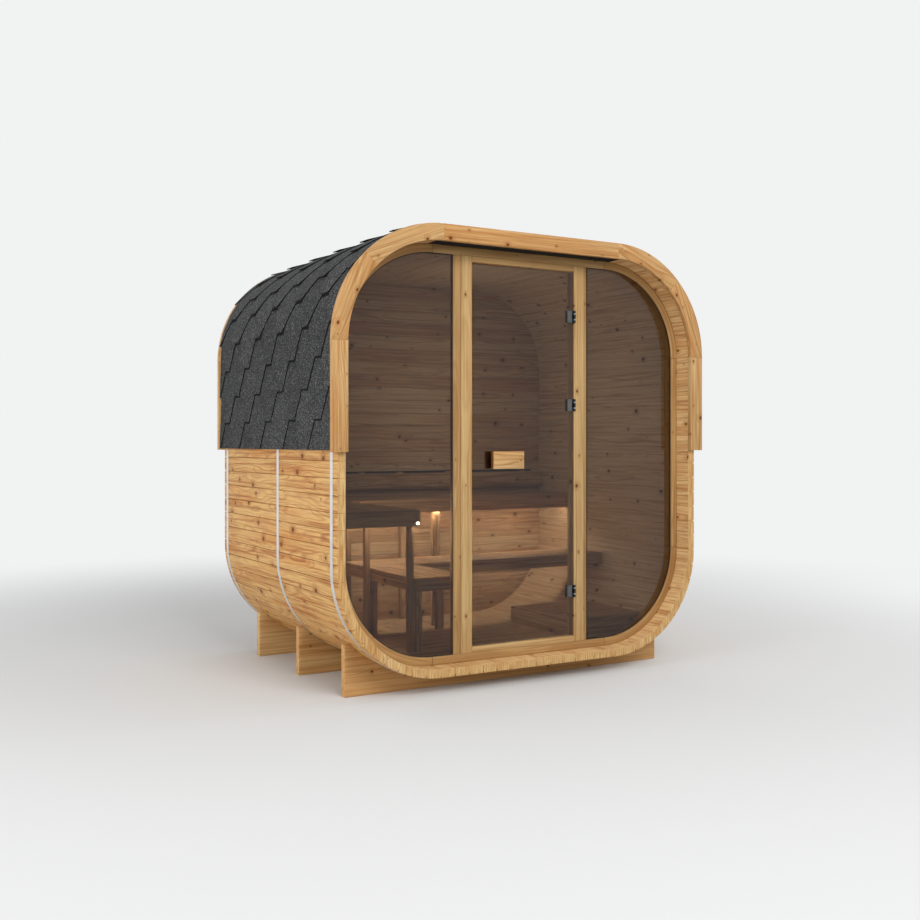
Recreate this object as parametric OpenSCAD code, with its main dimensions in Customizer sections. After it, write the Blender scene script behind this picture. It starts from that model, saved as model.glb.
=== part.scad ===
// Cube sauna: a cabin of horizontal staves with large rounded corners, held by three
// steel hoops, standing on three plank cradles, with a glazed front wall and a glass door.
// Millimetres, +Z up. The origin is on the ground under the middle of the cabin.
// The glazed front looks towards -Y and +X runs to the right along it.

/* [Stave shell] */
// Width of the shell over its side walls
shell_w = 2130; // [2000:1:2300]
// Length of the staves, front to back
shell_depth = 1596; // [1500:1:1900]
// Height of the underside of the shell above the ground
shell_low = 83; // [70:1:110]
// Height of the outer top of the shell
shell_high = 2211; // [2150:1:2300]
// Outer radius of the rounded corners
corner_r = 542; // [500:1:570]
// Thickness of a stave
stave_t = 42; // [38:1:48]

/* [Cradles] */
// Length of a cradle plank across the cabin
cradle_len = 1887; // [1800:1:1950]
// Height of a cradle at its ends
cradle_h = 247; // [220:1:280]
// Thickness of a cradle plank
cradle_t = 40; // [34:1:45]

/* [Hoops and roofing] */
// Width of a steel hoop
hoop_w = 30; // [20:1:40]
// Thickness of a steel hoop
hoop_t = 2; // [1.5:0.5:3]
// Thickness of the roof covering, eave board and shingles together
roofing_t = 27; // [20:1:32]
// Height of the lower edge of the shingles
roofing_low = 1171; // [1150:1:1250]

/* [Fascia] */
// Width of the fascia board on its face
fascia_w = 80; // [70:1:90]
// Thickness of the fascia board
fascia_t = 25; // [20:1:30]
// How far the fascia stands out past the shell
fascia_out = 36; // [30:1:40]
// Height of the lower ends of the fascia
fascia_low = 1163; // [1140:1:1170]

/* [Front and back walls] */
// Depth of the recess in front of each end wall
recess = 92; // [80:1:110]
// Thickness of the frames in the front wall
wall_t = 60; // [50:1:70]
// Width of the curved frame round the glazing
frame_w = 42; // [36:1:48]
// Thickness of the boarded back wall
back_wall_t = 42; // [36:1:48]
// Thickness of the glass
glass_t = 8; // [6:1:10]

/* [Door] */
// Left edge of the doorway
door_x0 = -300; // [-320:1:-280]
// Right edge of the doorway
door_x1 = 320; // [300:1:330]
// Lower edge of the doorway
door_z0 = 196; // [190:1:205]
// Upper edge of the doorway
door_z1 = 2098; // [2060:1:2105]
// Gap all round the door glass
door_gap = 5; // [5:0.5:6]

/* [Floor and benches] */
// Height of the top of the floor deck
floor_z = 178; // [170:1:185]
// Height of the top of the raised platform
platform_z = 270; // [240:1:290]
// Height of the upper benches
upper_z = 877; // [840:1:900]
// Height of the lower benches
lower_z = 542; // [500:1:560]

/* [Hidden] */
$fn = 96;

shell_hw = shell_w / 2;
corner_x = shell_hw - corner_r;
corner_low = shell_low + corner_r;
corner_high = shell_high - corner_r;
shell_back = shell_depth / 2;
shell_front = -shell_back;

inner_hw = shell_hw - stave_t;
inner_low = shell_low + stave_t;
inner_high = shell_high - stave_t;
inner_r = corner_r - stave_t;

// The opening inside the curved frame.
open_hw = inner_hw - frame_w;
open_low = inner_low + frame_w;
open_high = inner_high - frame_w;
open_r = inner_r - frame_w;

wall_y0 = shell_front + recess;
wall_y1 = wall_y0 + wall_t;
room_y0 = wall_y1;
room_y1 = shell_back - recess - wall_t;
fit_gap = 1;
room_gap = 5;

fascia_in_w = fascia_w - fascia_out;
fascia_hw = shell_hw + fascia_out;
fascia_high = shell_high + fascia_out;
fascia_r = corner_r + fascia_out;

// Members beside the doorway: a jamb on each side and a post beyond it.
jamb_w = 62;
post_left_w = 45;
post_right_w = 23;
jamb_left_x = door_x0 - jamb_w;
post_left_x = jamb_left_x - post_left_w;
jamb_right_x = door_x1 + jamb_w;
post_right_x = jamb_right_x + post_right_w;
stop_w = 10;
stop_y = wall_y0 + glass_t + 10;
stop_t = 14;

// The glass of the windows sits a little behind the face of the frame.
pane_y = wall_y0 + 8;

// Hoops and cradles, by the middle of each along the depth.
hoop_y = [-735, -54, 745];
cradle_y = [-590, -16, 574];

// Door furniture.
hinge_z = [431, 1400, 1861];
hinge_h = 63;
hinge_leaf_w = 42;
hinge_leaf_t = 5;
knuckle_r = 6;
hinge_pin_r = 3;
pin_play = 0.1;
hinge_x = door_x1 - 1;
hinge_y = wall_y0 - knuckle_r - 1;
knuckle_half = 11;
knuckle_gap = 1;
grip_x0 = -200;
grip_x1 = -20;
grip_z0 = 1074;
grip_z1 = 1162;
grip_t = 30;
grip_off = 14;
grip_bolt_x = [-160, -60];
grip_bolt_r = 5;
grip_spacer_r = 11;
grip_hole_r = 6;

// Timber sizes inside the cabin.
board_t = 28;
leg_t = 28;
leg_w = 30;
post_leg_w = 45;
deck_hw = 660;
deck_y1 = -80;
joist_w = 45;
joist_x = [-500, 0, 500];
platform_x0 = 332;
platform_x1 = 838;
platform_foot_x1 = 738;

upper_in_x = -555;
upper_y = 255;
upper_apron = 49;
lower_left_x = -572;
lower_in_x = -274;
lower_y = -70;
lower_back_y = 250;
lower_front_y = -621;
lower_right_x = 995;
lower_apron = 40;
mid_leg_y = -119;
led_s = 20;
led_back_s = 16;

rest_y0 = 600;
rest_y1 = 620;
rest_z0 = 925;
rest_z1 = 1027;
rest_block_w = 40;
rest_block_x = [-900, -300, -40, 300, 860];

// ---------- shared shapes ----------

// A box given by its lowest and highest corners.
module block(lo, hi) {
    translate(lo) cube(hi - lo);
}

// A flat outline in X and Z, extruded from y0 to y1.
module slab_y(y0, y1) {
    translate([0, y1, 0]) rotate([90, 0, 0]) linear_extrude(y1 - y0) children();
}

// Puts a shape made for the upper right corner into the corner given by two signs.
module to_corner(side, up) {
    translate([side * corner_x, up > 0 ? corner_high : corner_low])
        mirror([side < 0 ? 1 : 0, 0])
            mirror([0, up < 0 ? 1 : 0])
                children();
}

// A quarter of a ring round the centre of a rounded corner.
module corner_ring(side, up, r_out, r_in) {
    to_corner(side, up) intersection() {
        difference() {
            circle(r_out);
            circle(r_in);
        }
        square(r_out);
    }
}

// A quarter of a disc round the centre of a rounded corner.
module corner_disc(side, up, r) {
    to_corner(side, up) intersection() {
        circle(r);
        square(r);
    }
}

// Half of a rounded outline, from x = cut outwards to x = half on one side.
module half_outline(side, cut, half, low, high, r) {
    x0 = side > 0 ? cut : -corner_x;
    x1 = side > 0 ? corner_x : cut;
    translate([x0, low]) square([x1 - x0, high - low]);
    translate([side > 0 ? corner_x : -half, low + r]) square([half - corner_x, high - low - 2 * r]);
    corner_disc(side, 1, r);
    corner_disc(side, -1, r);
}

// An arch of even width: the level part and its two quarter rings.
module arch(up, level_z, width, r_out) {
    translate([-corner_x, level_z]) square([2 * corner_x, width]);
    corner_ring(-1, up, r_out, r_out - width);
    corner_ring(1, up, r_out, r_out - width);
}

// ---------- stave shell ----------

module wall_left() {
    color("burlywood")
        block([-shell_hw, shell_front, corner_low], [-inner_hw, shell_back, corner_high]);
}

module wall_right() {
    color("burlywood")
        block([inner_hw, shell_front, corner_low], [shell_hw, shell_back, corner_high]);
}

module shell_bottom() {
    color("burlywood")
        block([-corner_x, shell_front, shell_low], [corner_x, shell_back, inner_low]);
}

module shell_top() {
    color("burlywood")
        block([-corner_x, shell_front, inner_high], [corner_x, shell_back, shell_high]);
}

module shell_corner(side, up) {
    color("burlywood")
        slab_y(shell_front, shell_back) corner_ring(side, up, corner_r, inner_r);
}

// Each hoop is one bent strip, seen from the roofing's edge down and round the underside.
module steel_hoops() {
    color("silver") for (y = hoop_y) slab_y(y - hoop_w / 2, y + hoop_w / 2) {
        for (side = [-1, 1]) {
            corner_ring(side, -1, corner_r + hoop_t, corner_r);
            translate([side > 0 ? shell_hw : -shell_hw - hoop_t, corner_low])
                square([hoop_t, roofing_low - corner_low]);
        }
        translate([-corner_x, shell_low - hoop_t]) square([2 * corner_x, hoop_t]);
    }
}

// A plank on edge whose top is cut to the curve of the shell it carries.
module cradle(y) {
    color("burlywood") slab_y(y - cradle_t / 2, y + cradle_t / 2) difference() {
        translate([-cradle_len / 2, 0]) square([cradle_len, cradle_h]);
        translate([-corner_x, shell_low]) square([2 * corner_x, cradle_h]);
        for (side = [-1, 1]) translate([side * corner_x, corner_low]) circle(corner_r);
    }
}

// ---------- roof ----------

module roofing_side(side) {
    color("dimgray") slab_y(shell_front, shell_back) {
        translate([side > 0 ? shell_hw : -shell_hw - roofing_t, roofing_low])
            square([roofing_t, corner_high - roofing_low]);
        corner_ring(side, 1, corner_r + roofing_t, corner_r);
    }
}

module roofing_top() {
    color("dimgray")
        block([-corner_x, shell_front, shell_high], [corner_x, shell_back, shell_high + roofing_t]);
}

// The upright and the curved part of the fascia on one side of one end.
module fascia_side(side, y0) {
    color("burlywood") slab_y(y0, y0 + fascia_t) {
        translate([side > 0 ? shell_hw - fascia_in_w : -fascia_hw, fascia_low])
            square([fascia_w, corner_high - fascia_low]);
        corner_ring(side, 1, fascia_r, fascia_r - fascia_w);
    }
}

module fascia_top(y0) {
    color("burlywood")
        block([-corner_x, y0, fascia_high - fascia_w], [corner_x, y0 + fascia_t, fascia_high]);
}

// ---------- front wall ----------

module front_frame_side(side) {
    color("burlywood") slab_y(wall_y0, wall_y1)
        translate([side > 0 ? open_hw : -inner_hw, corner_low])
            square([frame_w, corner_high - corner_low]);
}

module front_frame_top() {
    color("burlywood") slab_y(wall_y0, wall_y1) arch(1, open_high, frame_w, inner_r);
}

module front_frame_bottom() {
    color("burlywood") slab_y(wall_y0, wall_y1) arch(-1, inner_low, frame_w, inner_r);
}

module window_posts() {
    color("burlywood") {
        block([post_left_x, wall_y0, open_low], [jamb_left_x, wall_y1, open_high]);
        block([jamb_right_x, wall_y0, open_low], [post_right_x, wall_y1, open_high]);
    }
}

// A jamb with its stop strip behind the door glass.
module door_jamb_left() {
    color("burlywood") {
        block([jamb_left_x, wall_y0, open_low], [door_x0, wall_y1, open_high]);
        block([door_x0, stop_y, door_z0], [door_x0 + stop_w, stop_y + stop_t, door_z1]);
    }
}

module door_jamb_right() {
    color("burlywood") {
        block([door_x1, wall_y0, open_low], [jamb_right_x, wall_y1, open_high]);
        block([door_x1 - stop_w, stop_y, door_z0], [door_x1, stop_y + stop_t, door_z1]);
    }
}

// The head above the doorway and the sill below it.
module door_rails() {
    color("burlywood") {
        block([door_x0, wall_y0, door_z1], [door_x1, wall_y1, open_high]);
        block([door_x0, wall_y0, open_low], [door_x1, wall_y1, door_z0]);
    }
}

module window(side, cut) {
    color("saddlebrown", 0.5) slab_y(pane_y, pane_y + glass_t)
        half_outline(side, cut, open_hw - fit_gap, open_low + fit_gap,
                     open_high - fit_gap, open_r - fit_gap);
}

// ---------- back wall ----------

module back_wall() {
    color("burlywood") slab_y(room_y1, room_y1 + back_wall_t) {
        half_outline(-1, 0, inner_hw, inner_low, inner_high, inner_r);
        half_outline(1, 0, inner_hw, inner_low, inner_high, inner_r);
    }
}

// The trim that runs round the back wall on its outside.
module back_frame() {
    color("burlywood") slab_y(room_y1 + back_wall_t, shell_back - recess) {
        arch(1, open_high, frame_w, inner_r);
        arch(-1, inner_low, frame_w, inner_r);
        for (x = [-inner_hw, open_hw])
            translate([x, corner_low]) square([frame_w, corner_high - corner_low]);
    }
}

// ---------- floor and benches ----------

module floor_deck() {
    color("tan") {
        block([-deck_hw, room_y0 + room_gap, floor_z - board_t], [deck_hw, deck_y1, floor_z]);
        for (x = joist_x)
            block([x - joist_w / 2, room_y0 + room_gap, inner_low],
                  [x + joist_w / 2, deck_y1, floor_z - board_t]);
    }
}

// A low podium of boards on the right of the floor.
module platform() {
    y0 = room_y0 + room_gap;
    under = platform_z - board_t;
    color("tan") {
        block([platform_x0, y0, under], [platform_x1, deck_y1, platform_z]);
        block([platform_x0, y0, floor_z], [platform_x0 + board_t, deck_y1, under]);
        block([platform_x0, deck_y1 - board_t, floor_z], [platform_foot_x1, deck_y1, under]);
    }
}

module upper_bench_left() {
    y0 = room_y0 + room_gap;
    under = upper_z - board_t;
    low = under - upper_apron;
    color("tan") {
        block([-inner_hw, y0, under], [upper_in_x, room_y1, upper_z]);
        block([-inner_hw, y0, low], [upper_in_x - led_s, y0 + board_t, under]);
        block([upper_in_x - led_s, y0, low + led_s], [upper_in_x, upper_y, under]);
    }
}

module upper_bench_back() {
    under = upper_z - board_t;
    color("tan") {
        block([upper_in_x, upper_y, under], [inner_hw, room_y1, upper_z]);
        block([upper_in_x, upper_y, under - upper_apron], [inner_hw, upper_y + board_t, under]);
    }
}

module lower_bench_left() {
    under = lower_z - board_t;
    low = under - lower_apron;
    color("tan") {
        block([lower_left_x, lower_front_y, under], [lower_in_x, lower_y, lower_z]);
        block([lower_left_x, lower_front_y, low], [lower_in_x, lower_front_y + board_t, under]);
        block([lower_left_x, lower_front_y, low], [lower_left_x + board_t, lower_y, under]);
        block([lower_in_x - board_t, lower_front_y, low], [lower_in_x, lower_y, under]);
    }
}

module lower_bench_back() {
    under = lower_z - board_t;
    low = under - lower_apron;
    color("tan") {
        block([lower_left_x, lower_y, under], [lower_right_x, lower_back_y, lower_z]);
        block([lower_in_x, lower_y, low], [lower_right_x, lower_y + board_t, under]);
        block([lower_left_x, lower_y, low], [lower_left_x + board_t, lower_back_y, under]);
    }
}

// A square leg by its left and front faces, from a base height to the underside it carries.
module leg(x, y, w, base, top) {
    block([x, y, base], [x + w, y + leg_t, top]);
}

module bench_legs() {
    upper = upper_z - board_t;
    lower = lower_z - board_t - lower_apron;
    front_y = room_y0 + room_gap + board_t;
    back_y = upper_y + board_t + led_back_s + 2;
    upper_x = upper_in_x - led_s - leg_w - 1;
    lower_x = lower_left_x + 8;
    color("tan") {
        for (y = [front_y, mid_leg_y]) leg(upper_x, y, leg_w, floor_z, upper);
        leg(-corner_x, back_y, leg_w, inner_low, upper);
        leg(33, back_y, post_leg_w, inner_low, upper);
        leg(-20, room_y1 - leg_t, post_leg_w, inner_low, upper);
        for (y = [lower_front_y, mid_leg_y]) leg(lower_x, y, leg_w, floor_z, lower);
        leg(lower_in_x - leg_w, lower_front_y, leg_w, floor_z, lower);
        leg(-146, lower_y, post_leg_w, inner_low, lower);
    }
}

// One board along the back wall.
module backrest() {
    color("tan")
        block([-inner_hw + room_gap, rest_y0, rest_z0], [inner_hw - room_gap, rest_y1, rest_z1]);
}

// The short blocks that hold the backrest off the wall.
module backrest_blocks() {
    color("tan") for (x = rest_block_x)
        block([x, rest_y1, rest_z0 + 5], [x + rest_block_w, room_y1, rest_z1 + 7]);
}

module led_strips() {
    y0 = room_y0 + room_gap;
    under = upper_z - board_t;
    low = under - upper_apron;
    color("lightyellow") {
        block([upper_in_x - led_s, y0, low], [upper_in_x, upper_y, low + led_s]);
        block([upper_in_x, upper_y + board_t, low],
              [inner_hw - 20, upper_y + board_t + led_back_s, low + led_back_s]);
    }
}

// ---------- door ----------

// The pin and middle knuckle of each hinge, on a leaf let into the gap beside the glass.
module frame_hinge_leaves() {
    color("gray") for (z = hinge_z) {
        translate([hinge_x, hinge_y, z - knuckle_half]) cylinder(r = knuckle_r, h = 2 * knuckle_half);
        translate([hinge_x, hinge_y, z - hinge_h / 2]) cylinder(r = hinge_pin_r, h = hinge_h);
        block([door_x1 - 3, hinge_y, z - knuckle_half], [door_x1, stop_y - 1, z + knuckle_half]);
    }
}

// A clamp plate on each face of the glass, with the outer two knuckles of the hinge.
module door_hinge_leaves() {
    x1 = hinge_x - knuckle_r - 3;
    x0 = x1 - hinge_leaf_w + 2;
    tab = hinge_h / 2 - knuckle_half - knuckle_gap;
    color("gray") for (z = hinge_z) {
        block([x0, wall_y0 + glass_t, z - hinge_h / 2],
              [x1, wall_y0 + glass_t + hinge_leaf_t, z + hinge_h / 2]);
        difference() {
            union() {
                block([x0, wall_y0 - hinge_leaf_t, z - hinge_h / 2], [x1, wall_y0, z + hinge_h / 2]);
                for (low = [z - hinge_h / 2, z + hinge_h / 2 - tab]) {
                    block([x1, wall_y0 - hinge_leaf_t, low], [hinge_x - 4, wall_y0 - 1, low + tab]);
                    translate([hinge_x, hinge_y, low]) cylinder(r = knuckle_r, h = tab);
                }
            }
            translate([hinge_x, hinge_y, z - hinge_h])
                cylinder(r = hinge_pin_r + pin_play, h = 2 * hinge_h);
        }
    }
}

module door_glass() {
    color("saddlebrown", 0.5) difference() {
        block([door_x0 + door_gap, wall_y0, door_z0 + door_gap],
              [door_x1 - door_gap, wall_y0 + glass_t, door_z1 - door_gap]);
        for (x = grip_bolt_x)
            translate([x, wall_y0 + glass_t + 1, (grip_z0 + grip_z1) / 2])
                rotate([90, 0, 0]) cylinder(r = grip_hole_r, h = glass_t + 2);
    }
}

// A wooden grip on each face of the glass, joined by two bolts with spacers.
module door_handles() {
    z = (grip_z0 + grip_z1) / 2;
    back = wall_y0 + glass_t;
    out = wall_y0 - grip_off;
    in = back + grip_off;
    color("burlywood") {
        block([grip_x0, out - grip_t, grip_z0], [grip_x1, out, grip_z1]);
        block([grip_x0, in, grip_z0], [grip_x1, in + grip_t, grip_z1]);
        for (x = grip_bolt_x) {
            translate([x, in, z]) rotate([90, 0, 0]) cylinder(r = grip_bolt_r, h = in - out);
            translate([x, wall_y0, z]) rotate([90, 0, 0]) cylinder(r = grip_spacer_r, h = grip_off);
            translate([x, in, z]) rotate([90, 0, 0]) cylinder(r = grip_spacer_r, h = grip_off);
        }
    }
}

wall_left();
wall_right();
shell_bottom();
shell_top();
shell_corner(-1, -1);  // corner_bottom_left
shell_corner(1, -1);  // corner_bottom_right
shell_corner(-1, 1);  // corner_top_left
shell_corner(1, 1);  // corner_top_right
steel_hoops();
cradle(cradle_y[0]);  // cradle_front
cradle(cradle_y[1]);  // cradle_middle
cradle(cradle_y[2]);  // cradle_back
roofing_side(-1);  // roofing_left
roofing_top();
roofing_side(1);  // roofing_right
fascia_side(-1, shell_front - fascia_t);  // front_fascia_left
fascia_top(shell_front - fascia_t);  // front_fascia_top
fascia_side(1, shell_front - fascia_t);  // front_fascia_right
fascia_side(-1, shell_back);  // back_fascia_left
fascia_top(shell_back);  // back_fascia_top
fascia_side(1, shell_back);  // back_fascia_right
front_frame_side(-1);  // front_frame_left
front_frame_side(1);  // front_frame_right
front_frame_top();
front_frame_bottom();
window_posts();
door_jamb_left();
door_jamb_right();
door_rails();
window(-1, post_left_x - fit_gap);  // window_left
window(1, post_right_x + fit_gap);  // window_right
back_wall();
back_frame();
floor_deck();
platform();
upper_bench_left();
upper_bench_back();
lower_bench_left();
lower_bench_back();
bench_legs();
backrest();
backrest_blocks();
led_strips();
frame_hinge_leaves();
door_glass();
door_hinge_leaves();
door_handles();
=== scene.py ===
import math
import random

import bmesh
import bpy
from mathutils import Matrix, Vector


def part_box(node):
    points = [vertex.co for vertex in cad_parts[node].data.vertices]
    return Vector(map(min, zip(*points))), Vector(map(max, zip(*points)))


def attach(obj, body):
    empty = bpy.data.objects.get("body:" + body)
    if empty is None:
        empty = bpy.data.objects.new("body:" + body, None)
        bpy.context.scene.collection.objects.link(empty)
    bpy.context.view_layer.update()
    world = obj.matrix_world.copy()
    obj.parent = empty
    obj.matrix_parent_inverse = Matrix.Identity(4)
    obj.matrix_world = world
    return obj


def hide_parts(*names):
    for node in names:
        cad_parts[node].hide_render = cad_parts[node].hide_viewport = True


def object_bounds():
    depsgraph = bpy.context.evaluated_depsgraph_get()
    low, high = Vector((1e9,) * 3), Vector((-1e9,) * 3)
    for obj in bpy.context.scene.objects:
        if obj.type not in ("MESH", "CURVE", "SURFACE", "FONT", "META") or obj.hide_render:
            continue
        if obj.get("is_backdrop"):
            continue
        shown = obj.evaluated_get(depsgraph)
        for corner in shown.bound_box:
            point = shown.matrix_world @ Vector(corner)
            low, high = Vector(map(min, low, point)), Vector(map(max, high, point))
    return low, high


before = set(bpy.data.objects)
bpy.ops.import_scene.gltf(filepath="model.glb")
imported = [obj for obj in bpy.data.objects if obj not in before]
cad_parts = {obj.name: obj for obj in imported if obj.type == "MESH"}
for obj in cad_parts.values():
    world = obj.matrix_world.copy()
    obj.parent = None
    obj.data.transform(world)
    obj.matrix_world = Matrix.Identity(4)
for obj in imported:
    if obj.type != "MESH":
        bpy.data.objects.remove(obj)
cad_low, cad_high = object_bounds()
scene = bpy.context.scene

# ---- Camera and plain studio ----
# A level camera stands to the left of the glazed front, with its frame shifted down a little.
# Large soft lamps and a pale floor light the cabin evenly, as in a showroom.

EYE = (-3.085, -5.370, 1.212)
HEADING = math.radians(-30.21)
LENS_MM = 43.01
FRAME_SHIFT = -0.0204


def linear(colour, share=1.0):
    """An sRGB hex colour, or a share of it, as linear red, green, blue and 1."""
    parts = [int(colour[i : i + 2], 16) / 255 for i in (1, 3, 5)]
    parts = [p / 12.92 if p <= 0.04045 else ((p + 0.055) / 1.055) ** 2.4 for p in parts]
    return tuple(share * p for p in parts) + (1.0,)


def adder(tree):
    """Empties a tree and gives the function that adds a node to it with its settings. Inputs come
    in order, then by name, each a value, a socket or a node. Kinds without a prefix are shader nodes."""
    tree.nodes.clear()

    def add(kind, *inputs, **settings):
        own = kind.startswith(("Geometry", "Function", "NodeGroup"))
        made = tree.nodes.new(kind if own else "ShaderNode" + kind)
        for name, value in settings.items():
            setattr(made, name, value)
        wanted = {}
        for place, value in enumerate(inputs):
            wanted.update(value if isinstance(value, dict) else {place: value})
        for key, value in wanted.items():
            if isinstance(value, bpy.types.Node):
                value = value.outputs[0]
            if isinstance(value, bpy.types.NodeSocket):
                tree.links.new(value, made.inputs[key])
            else:
                made.inputs[key].default_value = value
        return made

    return add


def new_material(name):
    """An empty node material and the function that adds its nodes."""
    material = bpy.data.materials.new(name)
    material.use_nodes = True
    return material, adder(material.node_tree)


def placed(name, data):
    """Puts an object into the scene."""
    made = bpy.data.objects.new(name, data)
    scene.collection.objects.link(made)
    return made


def seen_by(add, first, *more):
    """1 for rays of these kinds, and 0 for all others."""
    rays = add("LightPath").outputs
    seen = rays[first]
    for kind in more:
        seen = add("Math", seen, rays[kind], operation="MAXIMUM")
    return seen


camera = placed("camera", bpy.data.cameras.new("camera"))
camera.data.lens = LENS_MM
camera.data.shift_y = FRAME_SHIFT
camera.location = EYE
camera.rotation_euler = (math.radians(90), 0, HEADING)
scene.camera = camera
scene.view_settings.view_transform = "Standard"

# Lamps by place, size and power. All are turned to the middle of the cabin.
LAMPS = {
    "front": ((-0.7, -6.9, 5.3), 4.0, 288),
    "left": ((-6.8, -1.6, 1.5), 4.0, 193),
    "right": ((6.5, -0.4, 2.6), 4.0, 104),
}
CABIN_MIDDLE = Vector((0, 0, 1))
for name, (place, size, power) in LAMPS.items():
    lamp = bpy.data.lights.new(name, "AREA")
    lamp.shape, lamp.size, lamp.energy = "DISK", size, power
    holder = placed(name, lamp)
    holder.location = place
    holder.rotation_euler = (CABIN_MIDDLE - Vector(place)).to_track_quat("-Z", "Y").to_euler()
    holder.visible_glossy = False

# A small soft lamp in the middle of the room evens out the light on its walls.
ROOM_LAMP, ROOM_LAMP_R, ROOM_LAMP_POWER = (0.15, -0.1, 1.5), 0.12, 8.0
fill = bpy.data.lights.new("room", "POINT")
fill.shadow_soft_size, fill.energy = ROOM_LAMP_R, ROOM_LAMP_POWER
holder = placed("room", fill)
holder.location = ROOM_LAMP
holder.visible_camera = holder.visible_glossy = holder.visible_transmission = False

BACKDROP, WORLD_STRENGTH = "#F1F2F2", 0.60
scene.world = bpy.data.worlds.new("studio")
scene.world.use_nodes = True
add = adder(scene.world.node_tree)
seen = seen_by(add, "Is Camera Ray", "Is Glossy Ray", "Is Transmission Ray")
ambient = add("Background", {"Color": linear("#FFFFFF"), "Strength": WORLD_STRENGTH})
backdrop = add("Background", {"Color": linear(BACKDROP)})
chosen = add("MixShader", seen, ambient, backdrop)
add("OutputWorld", {"Surface": chosen})

# The floor keeps the shadow near the cabin and runs out into the backdrop without an edge.
FLOOR_HALF, FLOOR_DROP = 30.0, 0.0005
FLOOR_COLOUR, FLOOR_TO_LIGHT = "#DEDFDF", "#B6B6B5"
FADE_FROM, FADE_TO = 2.2, 6.5
floor_mesh = bpy.data.meshes.new("studio_floor")
corners = [(x * FLOOR_HALF, y * FLOOR_HALF, -FLOOR_DROP) for x, y in ((-1, -1), (1, -1), (1, 1), (-1, 1))]
floor_mesh.from_pydata(corners, [], [(0, 1, 2, 3)])
material, add = new_material("matt_studio_floor")
seen = seen_by(add, "Is Camera Ray", "Is Glossy Ray")
colour = add("Mix", seen, {6: linear(FLOOR_TO_LIGHT), 7: linear(FLOOR_COLOUR)}, data_type="RGBA")
matt = add("BsdfDiffuse", {"Color": colour.outputs[2]})
pale = add("Emission", {"Color": linear(BACKDROP)})
away = add("VectorMath", add("TexCoord").outputs["Object"], operation="LENGTH").outputs["Value"]
fade = add("MapRange", away, FADE_FROM, FADE_TO, interpolation_type="SMOOTHSTEP")
fade = add("Math", fade, seen, operation="MULTIPLY")
finish = add("MixShader", fade, matt, pale)
add("OutputMaterial", {"Surface": finish})
floor_mesh.materials.append(material)
placed("studio_floor", floor_mesh)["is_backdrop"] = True

# ---- Cradles ----
# Three spruce planks on edge carry the cabin. Their tops are sawn to the curve of the shell,
# so the staves sit in them without fixings that show. The wood is planed and oiled.

CABIN = "cabin"
SMOOTH_BELOW = math.radians(32)
EASE, SOFT_EASE, FINE_EASE = 0.0015, 0.002, 0.001
# Gaps too thin to see keep neighbouring faces apart.
CLEAR, HAIR = 0.0005, 0.0002
RING_MM = 6.0
KNOT_ACROSS, KNOT_SMALL, KNOT_LARGE = 0.079, 0.0042, 0.0115


def stretched(add, place, per_metre, detail=2.0, roughness=0.5):
    """Noise with its own number of swings in a metre along each axis."""
    place = add("VectorMath", place, per_metre, operation="MULTIPLY")
    return add("TexNoise", {"Vector": place, "Scale": 1.0, "Detail": detail, "Roughness": roughness})


def coats(add, base, *layers):
    """Lays colours over a base, each by its share."""
    for share, colour in layers:
        base = add("Mix", share, {6: base, 7: linear(colour)}, data_type="RGBA").outputs[2]
    return base


def ramp(add, value, first, last, *between):
    """Colours along a value from 0 to 1: the first, the last, and those between by position."""
    made = add("ValToRGB", value)
    stops = made.color_ramp.elements
    stops[0].color, stops[1].color = first, last
    for position, colour in between:
        stops.new(position).color = colour
    return made


def grey(value):
    return (value, value, value, 1)


def surfaced(material, add, height, strength, depth, inputs, invert=False):
    """Gives a material its surface, with a bump of this strength and depth."""
    bump = add("Bump", {"Height": height, "Strength": strength, "Distance": depth}, invert=invert)
    finish = add("BsdfPrincipled", {"Normal": bump, **inputs})
    add("OutputMaterial", {"Surface": finish})
    return material


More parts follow.
